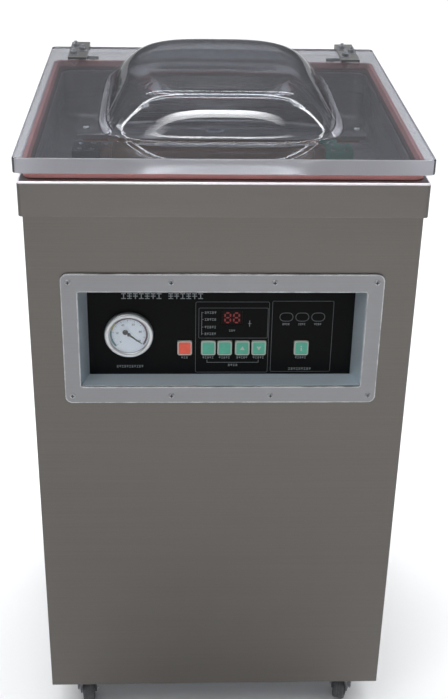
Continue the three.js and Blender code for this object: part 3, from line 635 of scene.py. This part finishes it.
well = []
for grow, z in ((13, RIM_TOP - 2.4), (1.5, RIM_TOP - 2.4), (0.5, RIM_TOP - 2.8), (0, RIM_TOP - 4)):
    well.append(plan_loop(CHAMBER_HALF + grow, CHAMBER_FRONT - grow, CHAMBER_BACK + grow, 18.4 + grow, z))
for k in range(0, 9):
    a = radians(90 * k / 8)
    inset = 9 * (1 - cos(a))
    well.append(plan_loop(CHAMBER_HALF - inset, CHAMBER_FRONT + inset, CHAMBER_BACK - inset,
                          18.4 - inset, CHAMBER_FLOOR + 9 * (1 - sin(a))))
hole = []
valve = (0.0, CHAMBER_BACK - 60)
for px, py, pz in well[-1]:
    a = atan2(py - valve[1], px)
    hole.append((valve[0] + 14 * cos(a), valve[1] + 14 * sin(a), CHAMBER_FLOOR))
well.append(hole)
chamber = piece("chamber_lining", loft(well), "chamber_stainless", "cabinet", replaces=("chamber_well",),
                smooth=50)
skin = chamber.modifiers.new("sheet", "SOLIDIFY")
skin.thickness = 1.4 * MM
skin.offset = -1.0
screen = [(0, 1.2), (12, 1.2), (13.2, 0.9), (15.5, 0.6), (15.5, 0.1), (13, 0.1), (13, -2), (0, -2)]
piece("suction_screen", lathe("z", (*valve, CHAMBER_FLOOR), screen, 40), "zinc_steel", "cabinet")
# Black bars for the screen's slits: painted shade in the openings.
slits = [brick((x - 0.8, valve[1] - h, CHAMBER_FLOOR + 1.1), (x + 0.8, valve[1] + h, CHAMBER_FLOOR + 1.26))
         for x, h in ((-8, 6), (-4, 9), (0, 10), (4, 9), (8, 6))]
piece("suction_slits", together(*slits), "painted_shade_black", "cabinet")

lips = [(0, 0.6), (0, 8.2), (0.5, 8.9), (1.8, 8.95), (2.3, 8.4), (3.0, 8.2), (3.7, 8.4), (4.2, 8.95),
        (5.2, 8.9), (5.8, 8.2), (6.0, 2.8), (6.9, 1.9), (7.3, 0.6), (6.8, 0.1), (0.6, 0.1)]
seal = [plan_loop(258.5 - d, FRONT + 8 + d, FRONT + 505 - d, 13.5 - d, RIM_TOP + 0.12 + h) for d, h in lips]
piece("lid_gasket", loft(seal, closed=True), "gasket_silicone", "cabinet", replaces=("gasket",), smooth=50)


# ------------------------------------------------ screws and bolts
def cross_screw(axis, centre, radius, height, outward):
    """A domed pan head."""
    rise = outward * height
    profile = [(0, 0), (radius, 0), (radius, rise * 0.35), (radius * 0.86, rise * 0.75),
               (radius * 0.5, rise * 0.96), (0, rise)]
    return lathe(axis, centre, profile, 28)


def cross_slot(axis, centre, radius, height, outward):
    """The cross drive in the top of a pan head, as a black prism: painted shade in the recess."""
    top = outward * height * 0.97
    low, high = sorted((top - outward * 0.6, top + outward * 0.06))
    x, y, z = centre
    long, wide = radius * 0.62, radius * 0.15
    arms = []
    for a, b in ((long, wide), (wide, long)):
        outline = [(-a, -b), (a, -b), (a, b), (-a, b)]
        at = {"x": (y, z, x), "y": (x, z, y), "z": (x, y, z)}[axis]
        arms.append(prism(axis, [(at[0] + u, at[1] + v) for u, v in outline], at[2] + low, at[2] + high))
    return together(*arms)


def cross_screws(heads, slots, axis, places, radius, height, outward, body):
    """A set of pan heads and their drives, as two pieces on one body."""
    piece(heads, together(*[cross_screw(axis, place, radius, height, outward) for place in places]),
          "zinc_steel", body)
    piece(slots, together(*[cross_slot(axis, place, radius, height, outward) for place in places]),
          "painted_shade_black", body)


def hex_bolt(axis, centre, across, height, outward=1, washer=True, thread=0.0):
    """A hexagon head, or a nut with its stud's end, on a washer."""
    o = outward
    pitch = 0.7
    parts = []
    base = 0.0
    if washer:
        base = o * 1.2
        rim = across * 0.78
        disc = [(0, 0), (rim, 0), (rim, o * 1.0), (across * 0.74, base), (0, base)]
        parts.append(lathe(axis, centre, disc, 32))
    parts.append(hexagon(axis, centre, across, base, base + o * height))
    if thread:
        r = across * 0.3
        end = base + o * (height + thread)
        rings = [(0, base + o * height)]
        for k in range(int(thread / pitch)):
            crest = height + pitch * k
            rings += [(r, base + o * crest), (r * 0.88, base + o * (crest + pitch / 2))]
        rings += [(r * 0.8, end), (0, end)]
        parts.append(lathe(axis, centre, rings, 20))
    return together(*parts)


bezel_places = [(x, BEZEL_FACE, z) for x in (-206, -69, 69, 206) for z in (609.5, 782.5)]
cross_screws("bezel_screws", "bezel_screw_slots", "y", bezel_places, 3.9, 1.6, -1, "cabinet")

# ------------------------------------------------ gauge
ring_profile = [(28.6, 24), (28.6, -5.4), (27.3, -5.6), (27.4, -6.4), (28.0, -7.2), (29.4, -7.7),
                (31.2, -7.8), (32.4, -7.45), (33.3, -6.7), (33.8, -5.6), (34, -4.2), (34, -1.2),
                (33.6, -0.3), (30, -0.3), (30, 26), (29, 26)]
back_profile = [(0, 24), (28.6, 24), (28.6, 26), (0, 26)]
dial_profile = [(0, -2.0), (28.0, -2.0), (28.3, -1.8), (28.3, 0), (0, 0)]
window_profile = [(0, -5.3), (28.0, -5.3), (28.3, -5.1), (28.3, -4.7), (0, -4.7)]
piece("gauge_ring", lathe("y", GAUGE, ring_profile, 96), "gauge_chrome", "cabinet",
      replaces=("gauge_case",), smooth=50)
piece("gauge_back", lathe("y", GAUGE, back_profile, 64), "gauge_chrome", "cabinet")
# The dial face carries a painted glow.
piece("dial_face", lathe("y", GAUGE, dial_profile, 96), "dial_enamel", "cabinet", replaces=("gauge_dial",))
piece("gauge_window", lathe("y", GAUGE, window_profile, 96), "gauge_glass", "cabinet",
      replaces=("gauge_lens",))
INK = PANEL_FRONT - 2.0
DIAL_START = 225
DIAL_SWEEP = 263


def arc_band(r0, r1, start, end, near, far, steps):
    """A flat ring sector on the dial; angles in degrees from +X as seen from the front."""
    inner, outer = [], []
    for i in range(steps + 1):
        a = radians(start + (end - start) * i / steps)
        inner.append((GAUGE[0] + r0 * cos(a), GAUGE[2] + r0 * sin(a)))
        outer.append((GAUGE[0] + r1 * cos(a), GAUGE[2] + r1 * sin(a)))
    return prism("y", inner + outer[::-1], near, far)


for color, start, end in (("teal", 225, 168), ("olive", 167.4, 140), ("maroon", 139.4, -38)):
    arc = arc_band(23.6, 26.2, start, end, INK - 0.12, INK - 0.02, max(8, int(abs(start - end) / 3)))
    piece("dial_arc_" + color, arc, "dial_" + color, "cabinet")


def spoke(angle, r0, r1, width, near, far):
    """A straight mark that points away from the dial's middle."""
    c, s = cos(radians(angle)), sin(radians(angle))
    outline = [(GAUGE[0] + r * c - w * s, GAUGE[2] + r * s + w * c)
               for r, w in ((r0, -width / 2), (r1, -width / 2), (r1, width / 2), (r0, width / 2))]
    return prism("y", outline, near, far)


marks = []
for i in range(51):
    inner, width = (20.2, 0.45) if i % 5 == 0 else (21.6, 0.22)
    marks.append(spoke(DIAL_START - DIAL_SWEEP * i / 50, inner, 23.1, width, INK - 0.1, INK - 0.02))


def lettering(text, size, x, z, y):
    """Plain numbers as flat shapes facing the front."""
    curve = bpy.data.curves.new("number", "FONT")
    curve.body = text
    curve.size = size
    curve.align_x = "CENTER"
    curve.align_y = "CENTER"
    curve.extrude = 0.05
    curve.resolution_u = 3
    holder = bpy.data.objects.new("number", curve)
    mesh = bpy.data.meshes.new_from_object(holder)
    turn = Matrix.Translation((x, y, z)) @ Matrix.Rotation(radians(90), 4, "X")
    shape = [tuple(turn @ v.co) for v in mesh.vertices], [tuple(p.vertices) for p in mesh.polygons]
    bpy.data.objects.remove(holder)
    bpy.data.curves.remove(curve)
    bpy.data.meshes.remove(mesh)
    return shape


for i, text in enumerate(("0", "20", "40", "60", "80", "100")):
    angle = radians(DIAL_START - DIAL_SWEEP * i / 5)
    x, z = GAUGE[0] + 16.4 * cos(angle), GAUGE[2] + 16.4 * sin(angle)
    marks.append(lettering(text, 4.4, x, z, INK - 0.06))
piece("dial_marks", together(*marks), "dial_ink", "cabinet")

needle_turn = Matrix.Translation(GAUGE) @ Matrix.Rotation(radians(38), 4, "Y")
pointer = [(-9, -0.9), (4, -1.15), (22.8, -0.3), (22.8, 0.3), (4, 1.15), (-9, 0.9)]
counterweight = lathe("y", (-6.2, 0, 0), [(0, -4.0), (3.4, -4.0), (3.8, -3.7), (3.8, -3.0), (0, -3.0)], 32)
needle = together(prism("y", pointer, -3.6, -3.0), counterweight)
piece("needle_pointer", moved(needle, needle_turn), "needle_black", "gauge_needle",
      replaces=("gauge_needle",))
hub = lathe("y", (0, 0, 0), [(0, -4.4), (1.2, -4.4), (2.2, -4.0), (2.4, -2.3), (0, -2.3)], 28)
piece("needle_hub", moved(hub, needle_turn), "needle_black", "gauge_needle")

# ------------------------------------------------ panel print and display
PRINT_NEAR = PANEL_FRONT - 0.09
PRINT_FAR = PANEL_FRONT - 0.01


def printed(x0, x1, z0, z1):
    """A printed bar on the panel; heights are measured from the band's lower edge."""
    return brick((x0, PRINT_NEAR, BAND_BOTTOM + z0), (x1, PRINT_FAR, BAND_BOTTOM + z1))


def printed_frame(x0, x1, z0, z1, r=2.5, line=0.55):
    """A printed outline with rounded corners."""
    low = BAND_BOTTOM + z0
    high = BAND_BOTTOM + z1
    outer = rounded(x0, x1, low, high, r, 5)
    inner = rounded(x0 + line, x1 - line, low + line, high - line, r - line, 5)
    rings = ((PRINT_NEAR, outer), (PRINT_NEAR, inner), (PRINT_FAR, inner), (PRINT_FAR, outer))
    return loft([[(x, y, z) for x, z in ring] for y, ring in rings], closed=True)


def printed_row(x0, x1, z, height, seed):
    """Small strokes that stand for a row of printed signs."""
    strokes = []
    count = max(2, round((x1 - x0) / height))
    pitch = (x1 - x0) / count
    for i in range(count):
        left = x0 + i * pitch
        right = left + pitch * 0.8
        low, high = z - height / 2, z + height / 2
        thin = height * 0.15
        kind = (seed + i * 2) % 3
        strokes.append(printed(left, right, high - thin, high))
        middle = (left + right) / 2
        strokes.append(printed(middle - thin / 2, middle + thin / 2, low, high - thin * 1.2))
        if kind != 1:
            strokes.append(printed(left, right, z - thin / 2, z + thin / 2))
        if kind != 2:
            strokes.append(printed(left, right, low - 0.01, low + thin))
    return strokes


frames = [printed_frame(-35.7, 66.6, -250.3, -139.6), printed_frame(-31.3, 65, -196, -148.9, 1.6, 0.55)]
frames += [printed_frame(70.3, 155.5, -249.2, -138.3)]
prints = [printed(-27.3, -26.8, -191, -155)]
for row, z in enumerate((-156.3, -166.8, -178.6, -189.1)):
    prints.append(printed(-27.3, -24.6, z - 0.25, z + 0.25))
    prints += printed_row(-23, -6.5, z, 3.4, row)
prints += printed_row(11, 20, -184, 2.6, 1)
prints.append(printed(37.2, 41.7, -173.4, -172.8))
prints.append(printed(39.1, 39.8, -177.7, -168.4))
for x in (90.3, 112.4, 134.6):
    frames.append(printed_frame(x - 9.5, x + 9.5, -169.7, -156.3, 6.5, 0.8))
    prints += printed_row(x - 5.2, x + 5.2, -174, 2.8, int(x))
for name in ("select_button", "enter_button", "up_button", "down_button", "start_button"):
    x = BUTTONS[name]
    prints += printed_row(x - 8, x + 8, -226.4, 3.0, int(abs(x)))
prints += printed_row(-55.5, -45.5, -226.4, 3.0, 2)
prints += [printed(-19.4, -18.9, -234, -230), printed(52.9, 53.4, -234, -230)]
prints += [printed(-19.4, 53.4, -234.4, -233.9)]
prints += printed_row(10.5, 24.5, -238.4, 3.2, 0)
prints += printed_row(96, 129, -244.6, 3.6, 1)
prints += printed_row(-137.5, -81, -131.2, 8.4, 1) + printed_row(-73, -24, -131.2, 8.4, 0)
prints += printed_row(-146, -108, -240.4, 3.6, 0)
piece("panel_print", together(*prints), "print_white", "cabinet")
piece("panel_frames", together(*frames), "print_grey", "cabinet")


def digit(x, z, width, height, bar):
    """The seven segments of one display digit."""
    y0, y1 = PANEL_FRONT + 0.25, PANEL_FRONT + 0.39
    half = height / 2
    across = [(bar * 0.6, 0), (bar, bar / 2), (width - bar, bar / 2), (width - bar * 0.6, 0),
              (width - bar, -bar / 2), (bar, -bar / 2)]
    down = [(0, bar * 0.55), (bar / 2, bar), (bar / 2, half - bar), (0, half - bar * 0.55),
            (-bar / 2, half - bar), (-bar / 2, bar)]
    parts = [prism("y", [(x + u, z + v + level) for u, v in across], y0, y1) for level in (0, half, height)]
    for side in (0, width):
        for level in (0, half):
            parts.append(prism("y", [(x + side + u, z + v + level) for u, v in down], y0, y1))
    return together(*parts)


digits = together(*[digit(x, BAND_BOTTOM - 171.6, 7.4, 14.6, 2.1) for x in (5.2, 17.4)])
piece("display_digits", digits, "led_red", "cabinet")

# ------------------------------------------------ buttons
SYMBOLS = {
    "up_button": [[(-3.4, -2.6), (3.4, -2.6), (0, 3.2)]],
    "down_button": [[(-3.4, 2.6), (0, -3.2), (3.4, 2.6)]],
    "start_button": [[(-0.8, -4.0), (0.8, -4.0), (0.8, 1.0), (-0.8, 1.0)],
                     [(-0.9, 2.0), (0.9, 2.0), (0.9, 3.8), (-0.9, 3.8)]],
}


def button_loop(x, inset, y, radius):
    """One rounded square of a button, inset from its outline."""
    half_w, half_h = BUTTON_WIDTH / 2, BUTTON_HEIGHT / 2
    ring = rounded(x - half_w + inset, x + half_w - inset, BUTTON_Z - half_h + inset,
                   BUTTON_Z + half_h - inset, radius, 6)
    return [(px, y, pz) for px, pz in ring]


CAP_STEPS = ((0, 5.5), (0, -1.0), (0.15, -1.5), (0.5, -1.85), (1.0, -2.0), (1.7, -2.0), (2.0, -1.8))
FACE_STEPS = ((1.9, -1.7), (1.95, -1.92), (2.3, -1.97))
for name, x in BUTTONS.items():
    look = "button_red" if name == "stop_button" else "button_green"
    cap = [button_loop(x, inset, PANEL_FRONT + y, 3.2 - inset * 0.7) for inset, y in CAP_STEPS]
    piece(name + "_cap", loft(cap, first=True, last=True), "button_border", name, (name,), smooth=50)
    face = [button_loop(x, inset, PANEL_FRONT + y, 1.8) for inset, y in FACE_STEPS]
    piece(name + "_face", loft(face, first=True, last=True), look, name)
    if name in SYMBOLS:
        outlines = [[(x + u, BUTTON_Z + v) for u, v in outline] for outline in SYMBOLS[name]]
        signs = [prism("y", outline, PANEL_FRONT - 2.0, PANEL_FRONT - 1.9) for outline in outlines]
        piece(name + "_sign", together(*signs), "button_border", name)

# ------------------------------------------------ seal bar
cover_loops = []
for i in range(56):
    x = CLOTH_LEFT + CLOTH_LENGTH * i / 55
    pucker = 0.28 * sin(x * 0.55) + 0.2 * sin(x * 0.21 + 1.3)
    outline = [(-17.75, -16.6), (-17.85 - 0.2 * pucker, -8), (-17.8, -1.2), (-17.2, 0.4), (-15.6, 1.3),
               (-9, 1.45 + 0.12 * pucker), (-3.4, 1.5), (0, 1.55 + 0.05 * pucker), (3.4, 1.5),
               (9, 1.45 - 0.1 * pucker), (15.6, 1.3), (17.2, 0.4), (17.8, -1.2), (17.85 + 0.2 * pucker, -8),
               (17.75, -16.6)]
    cover_loops.append([(x, SEAL_Y + u, SEAL_TOP + v) for u, v in outline])
cover_points = [p for loop in cover_loops for p in loop]
columns = len(cover_loops[0])
cover_faces = [(i * columns + j, (i + 1) * columns + j, (i + 1) * columns + j + 1, i * columns + j + 1)
               for i in range(len(cover_loops) - 1) for j in range(columns - 1)]
cloth = piece("seal_cloth", (cover_points, cover_faces), "ptfe_cloth", "seal_bar",
              replaces=("seal_cover",), smooth=70)
weave = cloth.modifiers.new("cloth", "SOLIDIFY")
weave.thickness = 0.3 * MM
weave.offset = 0.0

rods = [lathe("z", (x, SEAL_Y, 0), [(0, 862), (4.5, 862), (4.5, 888), (0, 888)], 24) for x in (-110, 90)]
piece("lift_rods", together(*rods), "gauge_chrome", "seal_bar")
end_places = [(x, SEAL_Y + dy, SEAL_TOP) for x in (-193, -175.5, 151.5, 169) for dy in (-12, 12)]
cross_screws("end_block_screws", "end_block_slots", "z", end_places, 3.6, 1.6, 1, "seal_bar")
clamp_places = [(x, SEAL_Y + dy, SEAL_TOP + 0.8) for x in (-157.6, 133.6) for dy in (-6.5, 6.5)]
piece("terminal_screws", together(*[hex_bolt("z", place, 5.5, 1.1, 1, False) for place in clamp_places]),
      "zinc_steel", "seal_bar")
bar_places = [(x, SEAL_Y, LID_TOP) for x in (-184, 184)]
cross_screws("counter_bar_screws", "counter_bar_slots", "z", bar_places, 4.2, 2.2, 1, "lid")


# ------------------------------------------------ hinges and springs
def spring_hook(x, z, start, end):
    """The bent wire eye at one end of a lid spring."""
    return [(x + 4.6 * cos(radians(a)), POST[0], z + 4.6 * sin(radians(a))) for a in range(start, end, 20)]


def spring_path(x, low, high, turns=60, steps=14):
    """The close turns of a lid spring."""
    path = []
    for i in range(turns * steps + 1):
        a = 2 * pi * i / steps
        z = low + (high - low) * i / (turns * steps)
        path.append((x + COIL_RADIUS * cos(a), POST[0] + COIL_RADIUS * sin(a), z))
    return path


for side, name in ((-1, "left"), (1, "right")):
    x = side * HINGE_X
    strap_bolts = [hex_bolt("z", (x + dx, y, STRAP_TOP), 10, 5.5, 1, True, 3.5)
                   for dx, y in ((-6.5, 212), (6.5, 238), (-6.5, 262))]
    piece("strap_bolts_" + name, together(*strap_bolts), "zinc_steel", "lid")
    bracket_bolts = [hex_bolt("y", (x + dx, BRACKET_FACE, z), 8, 4, 1, True, 2.0)
                     for dx in (-18, 18) for z in (862, 902) if not (side * dx < 0 and z < 880)]
    piece("bracket_bolts_" + name, together(*bracket_bolts), "zinc_steel", "cabinet")
    clip_profile = [(4, 0), (7.2, 0), (7.6, side * 0.3), (7.6, side * 0.9), (4, side * 1.2)]
    clip = lathe("x", (x + side * 13.2, *PIVOT), clip_profile, 32)
    piece("pin_clip_" + name, clip, "spring_steel", "cabinet")
    spring_x = x - side * SPRING_INSET
    turns = spring_path(spring_x, SPRING_LOW + 9, SPRING_HIGH - 9)
    top_hook = spring_hook(spring_x, SPRING_HIGH - 5, -60, 241)
    low_hook = spring_hook(spring_x, SPRING_LOW + 5, 120, 421)
    spring = together(sweep(turns, 1.2), sweep(top_hook, 1.15), sweep(low_hook, 1.15))
    coil = piece("spring_coil_" + name, spring, "spring_steel", "cabinet",
                 replaces=("lid_spring_" + name,), smooth=60)
    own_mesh(coil)


# ------------------------------------------------ casters
def wheel(half, sides):
    """A turned wheel part from the outline of its left half."""
    return lathe("x", AXLE, half + [(r, -d) for r, d in reversed(half)], sides)


TYRE = wheel([(18.6, -8.0), (19.4, -9.0), (21.5, -9.4), (23.6, -8.9), (24.7, -7.4), (25, -5.4),
              (25, -2.2), (24.6, -1.9)], 72)
HUB = wheel([(4.4, -9.4), (8.6, -9.4), (9.6, -8.9), (10.4, -6.2), (12, -5.2), (16, -5.2),
             (17.4, -6.4), (18.5, -7.9)], 56)
RACE = lathe("z", (0, 0, 0), [(14, 66.2), (19.4, 66.2), (20.6, 66.8), (20.9, 68.2), (20.2, 69.2),
                              (20.9, 70.2), (20.6, 71.5), (14, 71.8)], 64)
for name, (cx, cy, degrees) in CASTERS.items():
    place = Matrix.Translation((cx, cy, 0)) @ Matrix.Rotation(radians(degrees), 4, "Z")
    piece("tyre_" + name, moved(TYRE, place), "caster_tread", "wheel_" + name,
          replaces=("caster_wheel_" + name,), smooth=50)
    piece("hub_" + name, moved(HUB, place), "dark_plastic", "wheel_" + name, smooth=45)
    nuts = [hex_bolt("x", (side * AXLE_NUT_FACE, *AXLE[1:]), 9, 3.6, side) for side in (-1, 1)]
    piece("axle_nuts_" + name, moved(together(*nuts), place), "zinc_steel", "caster_" + name)
    piece("swivel_race_" + name, moved(RACE, place), "caster_steel", "caster_" + name)
    plate_bolts = [hex_bolt("z", (cx + dx, cy + dy, PLATE_UNDERSIDE), 7.5, 1.8, -1, False)
                   for dx in (-22, 22) for dy in (-17, 17)]
    piece("plate_bolts_" + name, together(*plate_bolts), "zinc_steel", "cabinet")

# ------------------------------------------------ back: panel screws and louvre slots
rear_places = [(x * inward, REAR_FACE, z)
               for x in (-240, -80, 80, 240) for inward, z in ((1, 96), (0.75, 865))]
cross_screws("rear_screws", "rear_screw_slots", "y", rear_places, 4.0, 1.8, 1, "cabinet")
# Black bars in the louvres: painted shade in the openings.
painted_shade_slots = [brick((x - 60, LOUVRE_FACE, z - 0.6), (x + 60, LOUVRE_FRONT, z + 0.9))
              for x in (-112, 112) for z in range(190, 323, 22)]
piece("louvre_slots", together(*painted_shade_slots), "painted_shade_black", "cabinet")

# ------------------------------------------------ finishes on the CAD nodes that stay
record_slots = {part["node"]: part["material_slot"] for part in frame["record"]["subparts"]}
SOFT_EDGE = {
    "cabinet_shell": 0.7, "rear_panel": 0.4, "control_bezel": 1.6, "control_recess": 0.4,
    "control_panel": 0.2, "vacuum_pump": 2.5, "pump_motor": 1.2, "transformer": 0.8,
    "vacuum_valve": 0.8, "hinge_arm_left": 0.5, "hinge_arm_right": 0.5, "hinge_bracket_left": 0.5,
    "hinge_bracket_right": 0.5, "end_block_left": 0.8, "end_block_right": 0.8, "counter_bar": 0.8,
    "counter_pad": 1.0, "seal_bar": 0.6, "vacuum_hose": 0.1, "display_window": 0.1, "motor_fan": 0.4,
}
for name, node in nodes.items():
    if not node.hide_render:
        polish(name, record_slots[name], SOFT_EDGE.get(name, 0.35))

# ------------------------------------------------ floor, light and camera
scene = bpy.context.scene
floor_mesh = bpy.data.meshes.new("floor")
floor_mesh.from_pydata([(-60, -60, 0), (60, -60, 0), (60, 60, 0), (-60, 60, 0)], [], [(0, 1, 2, 3)])
floor = bpy.data.objects.new("floor", floor_mesh)
scene.collection.objects.link(floor)
floor_look = surface("floor_pale", (0.9, 0.9, 0.9), 0.75, mottle=0.01, mottle_scale=0.6, depth=0.0)
floor_mesh.materials.append(floor_look)


def lamp(name, place, target, size, power, color=(1, 1, 1), spread=180):
    light = bpy.data.lights.new(name, "AREA")
    light.shape = "RECTANGLE"
    light.size, light.size_y = size
    light.energy = power
    light.color = color
    light.spread = radians(spread)
    holder = bpy.data.objects.new(name, light)
    holder.location = place
    direction = Vector(target) - Vector(place)
    holder.rotation_euler = direction.to_track_quat("-Z", "Y").to_euler()
    scene.collection.objects.link(holder)
    return holder


lamp("key", (-1.3, -1.7, 2.9), (0, -0.2, 0.7), (1.2, 1.0), 1.6, spread=42)
lamp("crest", (0, -0.97, 2.9), (0, -0.3, 0.8), (3.4, 0.3), 2.4, (0.97, 0.98, 1.0), 36)
lamp("front", (0.2, -3.3, 2.6), (0.15, -3.0, 0), (3.0, 1.0), 24, spread=84)
lamp("strip", (0, 1.05, 3.4), (0, 0, 0.95), (4.2, 0.2), 32, (0.93, 0.96, 1.0))
lamp("high_strip", (0, 1.9, 3.1), (0, 0, 0.95), (2.6, 0.12), 9, (0.93, 0.96, 1.0))
lamp("left_strip", (-2.0, 0.8, 2.5), (-0.1, 0, 0.95), (0.2, 1.6), 10, (0.97, 0.98, 1.0))
lamp("right_strip", (2.0, 0.8, 2.5), (0.1, 0, 0.95), (0.2, 1.6), 10, (0.97, 0.98, 1.0))
backlight = lamp("back", (0, 4.2, 4.5), (0, 3.4, 0), (9.0, 6.0), 340)
backlight.visible_glossy = False
backlight.visible_transmission = False

world = bpy.data.worlds.new("studio")
scene.world = world
world.use_nodes = True
sky = world.node_tree
backdrop = sky.nodes["Background"]
direction = sky.nodes.new("ShaderNodeTexCoord")
parts = sky.nodes.new("ShaderNodeSeparateXYZ")
sky.links.new(direction.outputs["Generated"], parts.inputs[0])
height = remap(sky, parts.outputs[2], 0.05, 0.9, 0.07, 0.34)
ray = sky.nodes.new("ShaderNodeLightPath")
soft = math_node(sky, "MULTIPLY", ray.outputs["Is Diffuse Ray"], 0.16)
sky.links.new(math_node(sky, "ADD", height, soft), backdrop.inputs["Strength"])
backdrop.inputs["Color"].default_value = (0.95, 0.97, 1.0, 1.0)

camera_data = bpy.data.cameras.new("camera")
camera_data.lens = 61.74
camera_data.sensor_width = 36.0
camera_data.clip_end = 100.0
camera = bpy.data.objects.new("camera", camera_data)
scene.collection.objects.link(camera)
yaw, pitch, roll = radians(2.61), radians(27.83), radians(1.19)
forward = Vector((sin(yaw) * cos(pitch), cos(yaw) * cos(pitch), -sin(pitch)))
right = Vector((cos(yaw), -sin(yaw), 0))
up = right.cross(forward)
right_rolled = cos(roll) * right + sin(roll) * up
up_rolled = -sin(roll) * right + cos(roll) * up
matrix = Matrix((right_rolled, up_rolled, -forward)).transposed().to_4x4()
camera.matrix_world = Matrix.Translation((-0.06313, -1.74319, 1.44733)) @ matrix
scene.camera = camera

scene.view_settings.view_transform = "Standard"
scene.view_settings.exposure = 0.0
